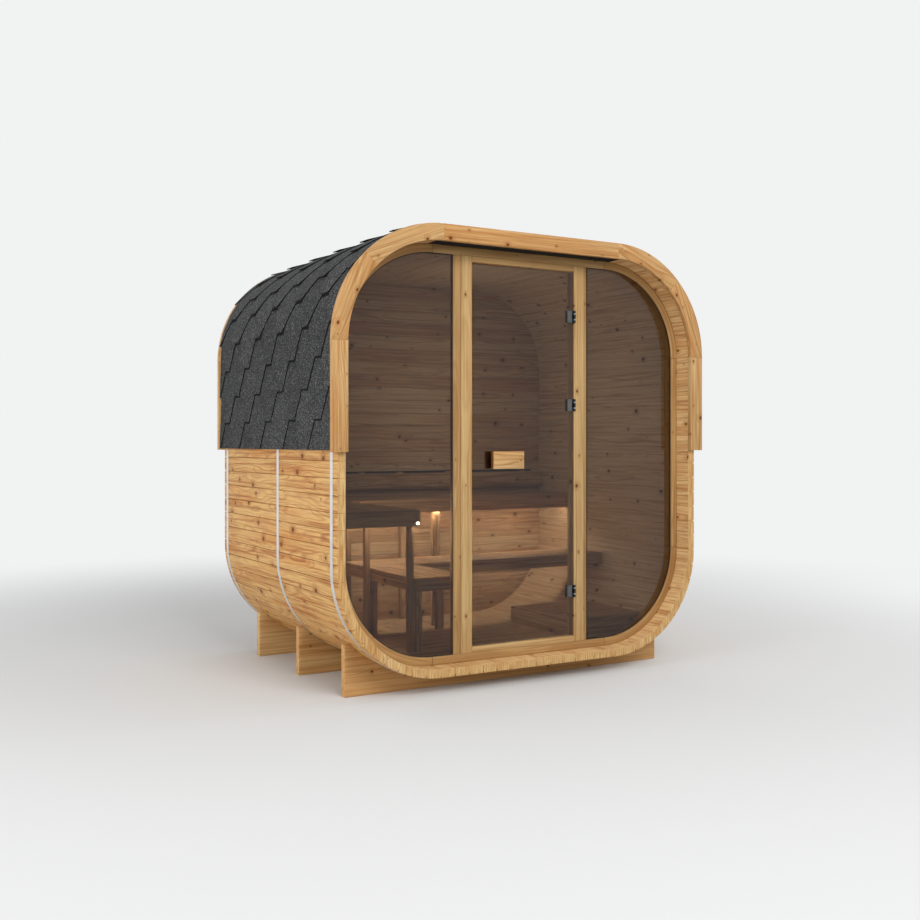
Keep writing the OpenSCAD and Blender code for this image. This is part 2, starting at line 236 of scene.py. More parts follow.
def pine(name, pale, honey, red, line, knot, knots=0.5, stretch=0.5, contrast=1.0, wave=1.0,
         every=0.26, girth=1.0):
    """Planed softwood: growth rings round the pith, darker late wood, long streaks and knots.
    Rings are drawn at twice their real spacing, so that they show at this size."""
    material, add = new_material(name)
    grain = add("Attribute", attribute_name="grain").outputs["Vector"]
    tone = add("Attribute", attribute_name="tone").outputs["Fac"]

    # Knots: one place in each cell along the board, of varied size, and only in some cells.
    cells = add("VectorMath", grain, (1 / every, 1 / KNOT_ACROSS, 0.0), operation="MULTIPLY")
    spots = add("TexVoronoi", {"Vector": cells, "Scale": 1.0, "Randomness": 0.9}, voronoi_dimensions="2D")
    off = add("VectorMath", cells, spots.outputs["Position"], operation="SUBTRACT")
    chance = add("SeparateColor", spots.outputs["Color"]).outputs
    off = add("VectorMath", off, (every * stretch, KNOT_ACROSS, 0.0), operation="MULTIPLY")
    away = add("VectorMath", off, operation="LENGTH").outputs["Value"]
    wobble = add("TexNoise", {"Vector": grain, "Scale": 110.0, "Detail": 1.0})
    away = add("Math", wobble, 0.004, away, operation="MULTIPLY_ADD")
    size = add("Math", chance[0], 2.2, operation="POWER")
    size = add("MapRange", size, {3: KNOT_SMALL, 4: KNOT_LARGE * girth})
    there = add("Math", chance[1], knots, operation="LESS_THAN")
    ratio = add("Math", away, size, operation="DIVIDE")
    inside = add("MapRange", ratio, 1.15, 0.7, interpolation_type="SMOOTHSTEP")
    halo = add("MapRange", ratio, 3.2, 0.9, interpolation_type="SMOOTHERSTEP")
    inside, halo = (add("Math", ring, there, operation="MULTIPLY") for ring in (inside, halo))

    # Growth rings: distance from the pith, bent along the board and thrown aside by knots.
    bend = stretched(add, grain, (1.6, 6.0, 6.0), 2.0, 0.4)
    bend = add("VectorMath", bend.outputs["Color"], (0.5, 0.5, 0.5), operation="SUBTRACT")
    bend = add("VectorMath", bend, (0.0, 0.07 * wave, 0.06 * wave), operation="MULTIPLY")
    flat = add("VectorMath", grain, (0.0, 1.0, 1.0), operation="MULTIPLY")
    bent = add("VectorMath", flat, bend)
    radius = add("VectorMath", bent, operation="LENGTH").outputs["Value"]
    radius = add("Math", halo, 0.014, radius, operation="MULTIPLY_ADD")
    count = add("Math", radius, 1000.0 / RING_MM, operation="MULTIPLY")
    rings = ramp(add, add("Math", count, operation="FRACT"), grey(0.5), grey(0.6), (0.14, grey(0.0)),
                 (0.5, grey(0.12)), (0.86, grey(1.0)))
    seasons = add("TexNoise", {"W": count, "Scale": 0.45, "Detail": 1.0}, noise_dimensions="1D")

    # Long streaks about 10 by 500 mm, and fibres finer than a millimetre drawn at about 2 mm.
    broad = stretched(add, grain, (1.9, 85.0, 85.0)).outputs["Fac"]
    cloud = stretched(add, grain, (1.6, 12.0, 12.0), 1.0).outputs["Fac"]
    fine = stretched(add, grain, (11.0, 420.0, 420.0), 3.0, 0.6).outputs["Fac"]

    # Each board has its own tone, from pale yellow to reddish, and drifts a little along itself.
    drift = add("MapRange", cloud, 0.3, 0.7, -0.3, 0.3)
    own = add("Math", tone, drift, use_clamp=True)
    body = ramp(add, own, linear(pale), linear(red), (0.5, linear(honey)))
    streak = add("MapRange", broad, 0.48, 0.7, {4: 0.7 * contrast})
    light = add("MapRange", broad, 0.46, 0.28, {4: 0.6 * contrast})
    strong = add("MapRange", seasons.outputs["Fac"], 0.3, 0.7, 0.15, contrast)
    late = add("Math", rings, strong, operation="MULTIPLY")
    late = add("Math", late, 0.7, operation="MULTIPLY")
    fibre = add("MapRange", fine, 0.35, 0.7, {4: 0.35 * contrast})
    ringed = add("Math", halo, 0.35, operation="MULTIPLY")
    colour = coats(add, body, (light, pale), (streak, line), (late, line), (fibre, line), (ringed, line),
                   (inside, knot))

    relief = add("Math", fine, 0.6, rings, operation="MULTIPLY_ADD")
    rough = add("MapRange", rings, {3: 0.6, 4: 0.48})
    return surfaced(material, add, relief, 0.22, 0.0006,
                    {"Base Color": colour, "Roughness": rough, "IOR": 1.46, "Specular IOR Level": 0.3})


def block(low, high):
    """A closed block between two corners."""
    made = bmesh.new()
    bmesh.ops.create_cube(made, size=1.0)
    bmesh.ops.scale(made, vec=high - low, verts=made.verts)
    bmesh.ops.translate(made, vec=(low + high) / 2, verts=made.verts)
    return made


def drawn_out(outline, by):
    """A closed solid from a flat outline drawn out by a vector, and its far face."""
    made = bmesh.new()
    face = made.faces.new([made.verts.new(point) for point in outline])
    drawn = bmesh.ops.extrude_face_region(made, geom=[face])["geom"]
    lid = [g for g in drawn if isinstance(g, bmesh.types.BMFace)][0]
    bmesh.ops.translate(made, vec=by, verts=lid.verts[:])
    return made, lid


def sawn(work, point, away, **more):
    """Cuts work along the plane through a point."""
    geom = work.verts[:] + work.edges[:] + work.faces[:]
    return bmesh.ops.bisect_plane(work, geom=geom, plane_co=point, plane_no=away, **more)


class Timber:
    """Boards gathered into one mesh. Each keeps its place in its log, for the grain."""

    def __init__(self, seed):
        self.draw = random.Random(seed)
        self.points, self.faces, self.grain, self.tone = [], [], [], []

    def add(self, board, along, face, chamfer=EASE, log=None, tone=None):
        """Takes one closed board, eases its edges and notes its grain along its length and face."""
        bmesh.ops.recalc_face_normals(board, faces=board.faces)
        sharp = [e for e in board.edges if e.calc_face_angle(0.0) > SMOOTH_BELOW]
        if chamfer:
            bmesh.ops.bevel(board, geom=sharp, offset=chamfer, segments=2, profile=0.5,
                            affect="EDGES", clamp_overlap=True)
        along, face = Vector(along).normalized(), Vector(face).normalized()
        across = face.cross(along)
        draw = self.draw
        log = log or (draw.uniform(0, 40), draw.uniform(-0.05, 0.05), draw.uniform(0.03, 0.12))
        tone = draw.random() if tone is None else tone
        board.verts.index_update()
        middle = sum((v.co for v in board.verts), Vector()) / len(board.verts)
        first = len(self.points)
        for vert in board.verts:
            p = vert.co - middle
            self.grain += (p.dot(along) + log[0], p.dot(across) + log[1], p.dot(face) + log[2])
            self.tone.append(tone)
            self.points.append(vert.co.copy())
        self.faces += [[first + v.index for v in f.verts] for f in board.faces]
        board.free()

    def box(self, low, high, chamfer=EASE, along=None, **more):
        """A straight board by two corners. Its length runs along its longest side."""
        low, high = Vector(low), Vector(high)
        order = sorted(range(3), key=lambda i: (high - low)[i])
        length = order[2] if along is None else along
        thin = [i for i in order if i != length][0]
        axes = Matrix.Identity(3)
        self.add(block(low, high), axes[length], axes[thin], chamfer, **more)

    def plate(self, outline, y0, y1, along, chamfer=EASE, **more):
        """A board of any outline in X and Z, from y0 to y1."""
        board, _ = drawn_out([(x, y0, z) for x, z in outline], (0, y1 - y0, 0))
        self.add(board, along, (0, -1, 0), chamfer, **more)

    def mesh(self):
        made = bpy.data.meshes.new("work")
        made.from_pydata(self.points, [], self.faces)
        made.attributes.new("grain", "FLOAT_VECTOR", "POINT").data.foreach_set("vector", self.grain)
        made.attributes.new("tone", "FLOAT", "POINT").data.foreach_set("value", self.tone)
        return made


def piece(name, work, stands_for=(), finish=None, body=CABIN):
    """Puts finished work into the scene in place of its CAD nodes."""
    mesh = work.mesh() if isinstance(work, Timber) else work
    mesh.name = name
    if finish:
        mesh.materials.append(finish)
    mesh.shade_smooth()
    mesh.set_sharp_from_angle(angle=SMOOTH_BELOW)
    made = placed(name, mesh)
    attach(made, body)
    if stands_for:
        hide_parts(*stands_for)


def arc(centre, radius, start, end, steps=14):
    """Points on an arc in X and Z, with angles in degrees from +X towards +Z."""
    turns = [math.radians(start + (end - start) * i / steps) for i in range(steps + 1)]
    return [(centre[0] + radius * math.cos(a), centre[1] + radius * math.sin(a)) for a in turns]


wall_low, wall_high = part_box("wall_left")
SHELL_HALF = -wall_low.x
STAVE = wall_high.x - wall_low.x
CORNER_LOW, CORNER_HIGH = wall_low.z, wall_high.z
SHELL_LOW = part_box("shell_bottom")[0].z
SHELL_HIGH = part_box("shell_top")[1].z
CORNER_R = CORNER_LOW - SHELL_LOW
CORNER_X = SHELL_HALF - CORNER_R
DEPTH_HALF = wall_high.y

oiled_spruce = pine("planed_oiled_spruce", "#EAC992", "#DFB57B", "#D3A268", "#A8733B", "#6F421C",
                    0.7, 0.9, 0.8, 0.6, girth=1.5)
for part in ("front", "middle", "back"):
    low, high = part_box("cradle_" + part)
    sweep = math.degrees(math.acos((CORNER_LOW - high.z) / CORNER_R))
    right = arc((CORNER_X, CORNER_LOW), CORNER_R + CLEAR, -90, sweep - 90)
    left = [(-x, z) for x, z in right]
    foot = [(low.x, high.z), (low.x, low.z), (high.x, low.z), (high.x, high.z)]
    cradle = Timber(part)
    cradle.plate(foot[1:] + right[::-1] + left + foot[:1], low.y, high.y, (1, 0, 0), SOFT_EASE)
    piece("cradle_plank_" + part, cradle, ["cradle_" + part], oiled_spruce)

# ---- Stave shell ----
# Ninety-six spruce staves lie side by side round the rounded square, tongue in groove, with
# eased edges that show as fine dark joints. Corner staves are planed to the curve.

STAVE_COUNT, ROOM_HALF = 96, 0.69
JOINT_EASE, GROOVE_WIDE, GROOVE_DEEP = 0.0012, 0.0036, 0.009
INNER_LIP, INNER_GAP = 0.004, 0.0006
KNOWN_JOINT = 1.122


def geometry_tree(name, kinds):
    """A Geometry Nodes tree: a geometry and named inputs go in, and one geometry comes out."""
    tree = bpy.data.node_groups.new(name, "GeometryNodeTree")
    for given, kind in {"Geometry": "Geometry", **kinds}.items():
        tree.interface.new_socket(given, in_out="INPUT", socket_type="NodeSocket" + kind)
    tree.interface.new_socket("Geometry", in_out="OUTPUT", socket_type="NodeSocketGeometry")
    add = adder(tree)
    return tree, add, add("NodeGroupInput").outputs


def grown(mesh, *steps):
    """Runs a mesh through Geometry Nodes trees, each with its inputs by name, to a plain mesh."""
    holder = placed("work", mesh)
    for tree, values in steps:
        modifier = holder.modifiers.new(tree.name, "NODES")
        modifier.node_group = tree
        for item in tree.interface.items_tree:
            if item.in_out == "INPUT" and item.name in values:
                modifier[item.identifier] = values[item.name]
    bpy.context.view_layer.update()
    graph = bpy.context.evaluated_depsgraph_get()
    made = bpy.data.meshes.new_from_object(holder.evaluated_get(graph), depsgraph=graph)
    bpy.data.objects.remove(holder)
    return made


def noted(add, things, name, value, kind="FLOAT", domain="INSTANCE"):
    """Notes a value by name on each thing, for later nodes and for the finish."""
    return add("GeometryNodeStoreNamedAttribute", things, {"Name": name, "Value": value},
               data_type=kind, domain=domain)


def finished(add, given, things, *choices):
    """Gives things their finishes by input name, each where its selection holds, and ends the tree."""
    for where, finish in choices:
        things = add("GeometryNodeSetMaterial", things, {"Selection": where, "Material": given[finish]})
    add("NodeGroupOutput", things)


# A row of like boards, each cut from its own place in the log. Faces turned into the room take
# the inner finish, those turned inward beyond it the recess finish, and sawn ends their own.
row_of_boards, add, given = geometry_tree("row_of_boards", {
    "Count": "Int", "Start": "Vector", "Pitch": "Vector", "Seed": "Int",
    "Finish": "Material", "Inner": "Material", "Recess": "Material", "Ends": "Material"})
line = {"Count": given["Count"], "Start Location": given["Start"], "Offset": given["Pitch"]}
line = add("GeometryNodeMeshLine", line, mode="OFFSET")
boards = add("GeometryNodeInstanceOnPoints", {"Points": line, "Instance": given["Geometry"]})
tone = add("FunctionNodeRandomValue", {"Seed": given["Seed"]}, data_type="FLOAT")
boards = noted(add, boards, "tone", tone.outputs[1])
shift = {0: (0.0, -0.05, 0.03), 1: (40.0, 0.05, 0.12), "Seed": given["Seed"]}
shift = add("FunctionNodeRandomValue", shift, data_type="FLOAT_VECTOR")
boards = noted(add, boards, "shift", shift, "FLOAT_VECTOR")
boards = add("GeometryNodeRealizeInstances", boards)
lain, moved = (add("GeometryNodeInputNamedAttribute", {"Name": name}, data_type="FLOAT_VECTOR")
               for name in ("grain", "shift"))
grain = add("VectorMath", lain, moved)
boards = noted(add, boards, "grain", grain, "FLOAT_VECTOR", "POINT")
boards = add("GeometryNodeRemoveAttribute", boards, {"Name": "shift"})
facing = add("SeparateXYZ", add("GeometryNodeInputNormal"))
deep = add("SeparateXYZ", add("GeometryNodeInputPosition"))
deep, sideways = (add("Math", part.outputs[1], operation="ABSOLUTE") for part in (deep, facing))
inward, within, ends = (
    add("FunctionNodeCompare", value, limit, data_type="FLOAT", operation=how)
    for value, limit, how in ((facing.outputs[2], -0.5, "LESS_THAN"), (deep, ROOM_HALF, "LESS_THAN"),
                              (sideways, 0.9, "GREATER_THAN")))
inner = add("FunctionNodeBooleanMath", inward, within, operation="AND")
finished(add, given, boards, (True, "Finish"), (inward, "Recess"), (inner, "Inner"), (ends, "Ends"))

# Flat work is bent round the shell: X runs along its outline, Y is the depth and Z stands out
# from its outer face. Points with a distance "ahead" run on straight from where they are held.
bend_round_shell, add, given = geometry_tree("bend_round_shell", {
    "Width": "Float", "Height": "Float", "Radius": "Float", "Middle": "Float"})
outline = add("GeometryNodeCurvePrimitiveQuadrilateral",
              {"Width": given["Width"], "Height": given["Height"]}, mode="RECTANGLE")
outline = add("GeometryNodeFilletCurve",
              {"Curve": outline, "Count": 48, "Radius": given["Radius"]}, mode="POLY")
lift = add("CombineXYZ", {2: given["Middle"]})
outline = add("GeometryNodeTransform",
              {"Geometry": outline, "Translation": lift, "Rotation": (math.radians(90), 0, 0)})
whole = add("GeometryNodeCurveLength", outline)
flat = add("SeparateXYZ", add("GeometryNodeInputPosition")).outputs
ahead = add("GeometryNodeInputNamedAttribute", {"Name": "ahead"}, data_type="FLOAT")
along = add("Math", flat[0], ahead, operation="SUBTRACT")
along = add("Math", along, whole, operation="FLOORED_MODULO")
spot = add("GeometryNodeSampleCurve", {"Curves": outline, "Length": along},
           mode="LENGTH", use_all_curves=True).outputs
outward = add("VectorMath", (0, 1, 0), spot["Tangent"], operation="CROSS_PRODUCT")
place = spot["Position"]
for way, far in ((outward, flat[2]), (spot["Tangent"], ahead)):
    way = add("VectorMath", way, {"Scale": far}, operation="SCALE")
    place = add("VectorMath", place, way)
place = add("VectorMath", place, add("CombineXYZ", {1: flat[1]}))
bent = add("GeometryNodeSetPosition", {"Geometry": given["Geometry"], "Position": place})
add("NodeGroupOutput", add("GeometryNodeFlipFaces", bent))

SHELL_W, SHELL_H = 2 * SHELL_HALF, SHELL_HIGH - SHELL_LOW
ROUND_SHELL = {"Width": SHELL_W, "Height": SHELL_H, "Radius": CORNER_R,
               "Middle": (SHELL_LOW + SHELL_HIGH) / 2}
QUARTER = CORNER_R * math.pi / 2
OUTLINE = 2 * (SHELL_W + SHELL_H) - 8 * CORNER_R + 4 * QUARTER
LEFT_WALL_TOP = 2 * QUARTER + 2 * CORNER_X


def along_left_wall(z):
    """The distance round the shell, over the top, to a height on the left wall."""
    return LEFT_WALL_TOP + CORNER_HIGH - z


def stave(width, strips=5):
    """One stave laid flat along Y, with its outer face at Z 0. Its sides step back beside both
    faces, which leaves a groove over each tongue, narrower inside."""
    half, step = width / 2 - HAIR / 2, GROOVE_WIDE / 2
    steps = [(half - step - JOINT_EASE) * (2 * i / strips - 1) for i in range(strips + 1)]
    side = [(half - step, -JOINT_EASE), (half - step, -GROOVE_DEEP), (half, -GROOVE_DEEP),
            (half, INNER_LIP - STAVE), (half - INNER_GAP, INNER_LIP - STAVE),
            (half - INNER_GAP, INNER_GAP - STAVE)]
    section = [(x, 0) for x in steps] + side + [(x, -STAVE) for x in reversed(steps)]
    section += [(-x, z) for x, z in reversed(side)]
    made, rings = bmesh.new(), []
    eased = DEPTH_HALF - JOINT_EASE
    for y, inset in ((-DEPTH_HALF, JOINT_EASE), (-eased, 0), (-ROOM_HALF, 0), (ROOM_HALF, 0), (eased, 0),
                     (DEPTH_HALF, JOINT_EASE)):
        wide, thick = 1 - inset / half, 1 - 2 * inset / STAVE
        ring = [(x * wide, y, (z + STAVE / 2) * thick - STAVE / 2) for x, z in section]
        rings.append([made.verts.new(point) for point in ring])
    for one, two in zip(rings, rings[1:]):
        for i in range(len(section)):
            j = (i + 1) % len(section)
            made.faces.new((one[i], two[i], two[j], one[j]))
    made.faces.new(rings[0])
    made.faces.new(rings[-1][::-1])
    return made


def end_grain(name, pale, dark, line):
    """Sawn ends of the staves: fine upright growth lines about 5 mm apart, each stave in its own tone."""
    material, add = new_material(name)
    place = add("TexCoord").outputs["Object"]
    tone = add("Attribute", attribute_name="tone").outputs["Fac"]
    fine = stretched(add, place, (210.0, 30.0, 9.0), 3.0, 0.65).outputs["Fac"]
    wide = stretched(add, place, (40.0, 10.0, 2.5)).outputs["Fac"]
    lines = add("MapRange", fine, 0.4, 0.62, {4: 0.9})
    broad = add("MapRange", wide, 0.35, 0.65, {4: 0.8})
    each = add("MapRange", tone, {4: 0.35})
    colour = coats(add, linear(pale), (broad, dark), (each, dark), (lines, line))
    return surfaced(material, add, fine, 0.3, 0.0005, {"Base Color": colour, "Roughness": 0.66})


pitch = OUTLINE / STAVE_COUNT
one_stave = Timber("stave")
one_stave.add(stave(pitch), (0, 1, 0), (0, 0, 1), chamfer=0, log=(0.0, 0.0, 0.0))
first = along_left_wall(KNOWN_JOINT) % pitch + pitch / 2
stave_spruce = pine("planed_stave_spruce", "#EBC17D", "#D89851", "#CA7344", "#9A5017", "#78420F",
                    0.44, 0.75, 1.05, 1.3, girth=1.5)
bare_spruce = pine("bare_inner_spruce", "#DEC49C", "#D3B286", "#C69B70", "#8E6238", "#54331A",
                   0.55, 0.9, 0.8, 0.8, girth=1.3)
recess_spruce = pine("planed_recess_spruce", "#EFCB93", "#E0AC70", "#D3925F", "#A3642C", "#78420F",
                     0.44, 0.75, 0.9, 1.0, girth=1.3)
sawn_ends = end_grain("sawn_stave_ends", "#E5C48B", "#D3A265", "#A9773B")
shell = grown(
    one_stave.mesh(),
    (row_of_boards, {"Count": STAVE_COUNT, "Start": (first, 0, 0), "Pitch": (pitch, 0, 0), "Seed": 5,
                     "Finish": stave_spruce, "Inner": bare_spruce, "Recess": recess_spruce,
                     "Ends": sawn_ends}),
    (bend_round_shell, ROUND_SHELL),
)
piece("staves", shell,
      ["wall_left", "wall_right", "shell_bottom", "shell_top", "corner_bottom_left",
       "corner_bottom_right", "corner_top_left", "corner_top_right"])

# ---- Steel hoops ----
# Three brushed stainless strips, 30 mm wide, draw the staves together. They run under the
# cabin from one eave to the other, and their tightening ends are hidden below the shingles.


def uneven(add, noise, roughness):
    """A gloss that changes a little over the surface."""
    return add("Math", noise, 0.2, roughness - 0.1, operation="MULTIPLY_ADD")


def brushed_steel(name, colour, roughness, axis):
    """Bright stainless steel, brushed: fine lines about 1 mm apart across the given axis."""
    material, add = new_material(name)
    place = add("TexCoord").outputs["Object"]
    lines = stretched(add, place, [1400.0 if i == axis else 30.0 for i in range(3)]).outputs["Fac"]
    cloud = add("TexNoise", {"Vector": place, "Scale": 14.0, "Detail": 2.0})
    shade = add("MapRange", cloud.outputs["Fac"], 0.3, 0.7)
    body = add("Mix", shade, {6: linear(colour), 7: linear(colour, 0.86)}, data_type="RGBA")
    return surfaced(material, add, lines, 0.12, 0.0003, {
        "Base Color": body.outputs[2], "Metallic": 1.0, "Roughness": uneven(add, lines, roughness)})


def refinished(node_name, finish):
    """Gives a CAD part a finish, where its own shape is the real one."""
    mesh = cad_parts[node_name].data
    mesh.materials.clear()
    mesh.materials.append(finish)


refinished("steel_hoops", brushed_steel("brushed_hoop_steel", "#F0F0EE", 0.4, 1))

# ---- Shingled roof ----
# Bitumen shingles with pointed tabs, nailed on thin battens in courses from the eave to the
# ridge. Each course lies half a tab aside from the one below. Tabs are stiff below their nails,
# so the covering stands off the curved corners. Caps cover the ridge.

TAB_PITCH, TAB_BOTTOM, TAB_TOP = 0.326, 0.082, 0.244
EXPOSED, HEADLAP, SHINGLE = 0.147, 0.165, 0.005
NAILED, TABS = 0.07, 7
FIRST_TAB_Y = -1.1265
# Two runs of courses by the height of the first above the eave, their pitch and their number.
RUNS = ((0.0, 0.1455, 6), (0.8368, 0.1435, 7))
# Height of the band of painted shade below each tab end.
TAB_SHADOW = 0.010
CAP_WIDE, CAP_LONG, CAP_LIFT, CAPS = 0.24, 0.29, 0.005, 11
STARTER_LONG, CUT_EVERY, EAVE_BATTEN = 0.2, 0.03, 0.045
BATTEN, SWELL = 0.015, 0.030
ROOF_R = CORNER_R + BATTEN - SWELL
ROUND_ROOF = dict(ROUND_SHELL, Width=SHELL_W + 2 * BATTEN, Height=SHELL_H + 2 * BATTEN, Radius=ROOF_R)
RIDGE = QUARTER + CORNER_X
ROOF_RIDGE = ROOF_R * math.pi / 2 + SHELL_HALF + BATTEN - ROOF_R
EAVE_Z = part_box("roofing_left")[0].z
EAVE = 2 * ROOF_RIDGE + SHELL_HIGH + BATTEN - ROOF_R - EAVE_Z

courses_of_shingles, add, given = geometry_tree("courses_of_shingles", {
    "Courses": "Int", "In Course": "Int", "Start": "Vector", "Up": "Vector", "Along": "Vector",
    "Aside": "Vector", "Seed": "Int", "Finish": "Material", "Cut Edge": "Material"})
total = add("Math", given["Courses"], given["In Course"], operation="MULTIPLY")
points = add("GeometryNodeMeshLine", {"Count": total, "Offset": (0, 0, 0)}, mode="OFFSET")
number = add("GeometryNodeInputIndex")
course = add("Math", number, given["In Course"], operation="DIVIDE")
course = add("Math", course, operation="FLOOR")
place_in = add("Math", number, given["In Course"], operation="MODULO")
odd = add("Math", course, 2.0, operation="MODULO")
place = given["Start"]
for way, times in (("Up", course), ("Along", place_in), ("Aside", odd)):
    way = add("VectorMath", given[way], {"Scale": times}, operation="SCALE")
    place = add("VectorMath", place, way)
points = add("GeometryNodeSetPosition", {"Geometry": points, "Position": place})
tabs = add("GeometryNodeInstanceOnPoints", {"Points": points, "Instance": given["Geometry"]})
tone = add("FunctionNodeRandomValue", {"Seed": given["Seed"]}, data_type="FLOAT")
tabs = add("GeometryNodeRealizeInstances", noted(add, tabs, "tone", tone.outputs[1]))
facing = add("SeparateXYZ", add("GeometryNodeInputNormal"))
facing = add("Math", facing.outputs[2], operation="ABSOLUTE")
cut = add("FunctionNodeCompare", facing, 0.5, data_type="FLOAT", operation="LESS_THAN")
finished(add, given, tabs, (True, "Finish"), (cut, "Cut Edge"))


def shingle(outline, lap, step, lift=0.0, axis=0, nailed=None, band=None):
    """A flat shingle from its outline, tilted so that its lower end lies on the course below.
    It is cut across every 30 mm, so that it can follow a curve, down to its nails. band is how
    far up it the tab that lies over it ends, where a black band of painted shade lies on it."""
    made, _ = drawn_out([(x, y, 0) for x, y in outline], (0, 0, SHINGLE))
    bmesh.ops.recalc_face_normals(made, faces=made.faces)
    low, high = (pick(v.co.x for v in made.verts) for pick in (min, max))
    for i in range(1, int((high - low) / CUT_EVERY) + 1):
        at = high - CUT_EVERY * i
        if at > low + 0.002:
            sawn(made, (at, 0, 0), (1, 0, 0))
    for vert in made.verts:
        vert.co.z += lift + step * (vert.co[axis] * (1 if axis == 0 else -1) + lap)
    mesh = bpy.data.meshes.new("shingle")
    made.to_mesh(mesh)
    made.free()
    if nailed:
        ahead = [max(0.0, vert.co.x + nailed) for vert in mesh.vertices]
        mesh.attributes.new("ahead", "FLOAT", "POINT").data.foreach_set("value", ahead)
    if band:
        under = [value for vert in mesh.vertices for value in (vert.co.x + band, vert.co.y, 1.0)]
        mesh.attributes.new("under", "FLOAT_VECTOR", "POINT").data.foreach_set("vector", under)
    return mesh


def mineral_bitumen(name, dark, mid, light):
    """Bitumen covered with crushed slate: grains 1 to 2 mm across, drawn at 4 mm so that they show,
    with a few pale ones, each tab a shade lighter or darker, and a black band of painted shade
    just below where each tab above ends."""
    material, add = new_material(name)
    place = add("TexCoord").outputs["Object"]
    tone = add("Attribute", attribute_name="tone").outputs["Fac"]
    grit = add("TexVoronoi", {"Vector": place, "Scale": 270.0})
    value = add("SeparateColor", grit.outputs["Color"]).outputs
    drift = add("TexNoise", {"Vector": place, "Scale": 90.0, "Detail": 3.0, "Roughness": 0.6})
    patch = add("TexNoise", {"Vector": place, "Scale": 6.0, "Detail": 3.0})
    pale = add("MapRange", value[1], 0.78, 0.95, {4: 0.9})
    worn = add("MapRange", drift.outputs["Fac"], 0.35, 0.65, {4: 0.5})
    colour = coats(add, linear(dark), (value[0], mid), (pale, light), (worn, dark))
    mixed = add("Math", tone, patch.outputs["Fac"])
    shade = add("MapRange", mixed, 0.3, 1.7, 0.8, 1.2)
    # Painted shade: the grit turns near black in a band just below where the tab above ends, beside its end
    # only.
    under = add("Attribute", attribute_name="under").outputs["Vector"]
    under = add("SeparateXYZ", under).outputs
    tab_end_shade = add("MapRange", under[0], TAB_SHADOW + 0.002, TAB_SHADOW - 0.002)
    beside = add("Math", under[1], operation="ABSOLUTE")
    beside = add("Math", beside, TAB_BOTTOM / 2 + 0.003, operation="LESS_THAN")
    for only in (beside, under[2]):
        tab_end_shade = add("Math", tab_end_shade, only, operation="MULTIPLY")
    shade = add("Math", tab_end_shade, -0.85, shade, operation="MULTIPLY_ADD")
    colour = add("VectorMath", colour, {"Scale": shade}, operation="SCALE")
    return surfaced(material, add, grit.outputs["Distance"], 0.8, 0.0012,
                    {"Base Color": colour, "Roughness": 0.9, "Specular IOR Level": 0.3}, invert=True)


def covering(one, courses, start, seed, **ways):
    """Courses of like shingles, bent round the roof."""
    values = {"Courses": courses, "Start": start, "Seed": seed, "Finish": slate_grit,
              "Cut Edge": cut_bitumen, "In Course": TABS if "Along" in ways else 1, **ways}
    return grown(one, (courses_of_shingles, values), (bend_round_shell, ROUND_ROOF))


def trimmed(mesh, *planes):
    """Cuts a mesh off along planes, each by a point and the side to drop, and closes it."""
    work = bmesh.new()
    work.from_mesh(mesh)
    for point, away in planes:
        cut = sawn(work, point, away, clear_outer=True)
        edges = [e for e in cut["geom_cut"] if isinstance(e, bmesh.types.BMEdge) and e.is_boundary]
        bmesh.ops.holes_fill(work, edges=edges, sides=0)
    work.to_mesh(mesh)
    work.free()


def other_side(mesh):
    """The same work for the right-hand side, with its faces turned out again."""
    made = mesh.copy()
    made.transform(Matrix.Diagonal((-1, 1, 1, 1)))
    made.flip_normals()
    return made


slate_grit = mineral_bitumen("slate_strewn_bitumen", "#1C1D1D", "#474748", "#8A8A8C")
cut_bitumen = mineral_bitumen("cut_bitumen_edge", "#101011", "#19191A", "#222223")
half, low_half, high_half = TAB_PITCH / 2, TAB_BOTTOM / 2, TAB_TOP / 2
nailed_end = -EXPOSED - HEADLAP
tab = [(0, -low_half), (0, low_half), (-EXPOSED, high_half), (-EXPOSED, half), (nailed_end, half),
       (nailed_end, -half), (-EXPOSED, -half), (-EXPOSED, -high_half)]
step = SHINGLE / EXPOSED
slopes = [
    covering(shingle(tab, EXPOSED + HEADLAP, step, nailed=NAILED, band=2 * pitch), count,
             (EAVE - above, FIRST_TAB_Y, 0), seed, Up=(-pitch, 0, 0), Along=(0, TAB_PITCH, 0),
             Aside=(0, -half, 0))
    for seed, (above, pitch, count) in enumerate(RUNS)
]
strip = [(0, -half), (0, half), (-STARTER_LONG, half), (-STARTER_LONG, -half)]
starter = covering(shingle(strip, STARTER_LONG, step * 0.8, band=RUNS[0][1]), 1,
                   (EAVE, FIRST_TAB_Y - half, 0), 4, Along=(0, TAB_PITCH, 0))
FRONT_END, BACK_END = ((0, -DEPTH_HALF, 0), (0, -1, 0)), ((0, DEPTH_HALF, 0), (0, 1, 0))
for slope in slopes + [starter]:
    trimmed(slope, FRONT_END, BACK_END, ((-0.001, 0, 0), (1, 0, 0)))

for side, over in (("left", ["roofing_top"]), ("right", [])):
    for name, mesh, stands_for in (("lower_courses_", slopes[0], ["roofing_" + side]),
                                   ("upper_courses_", slopes[1], over), ("starter_strip_", starter, [])):
        mesh = other_side(mesh) if side == "right" else mesh.copy()
        piece(name + side, mesh, stands_for)
    eave = Timber("eave" + side)
    x = (SHELL_HALF + HAIR, SHELL_HALF + BATTEN - HAIR)
    x = x if side == "right" else (-x[1], -x[0])
    eave.box((x[0], -DEPTH_HALF + CLEAR, EAVE_Z), (x[1], DEPTH_HALF - CLEAR, EAVE_Z + EAVE_BATTEN))
    piece("eave_batten_" + side, eave, finish=oiled_spruce)

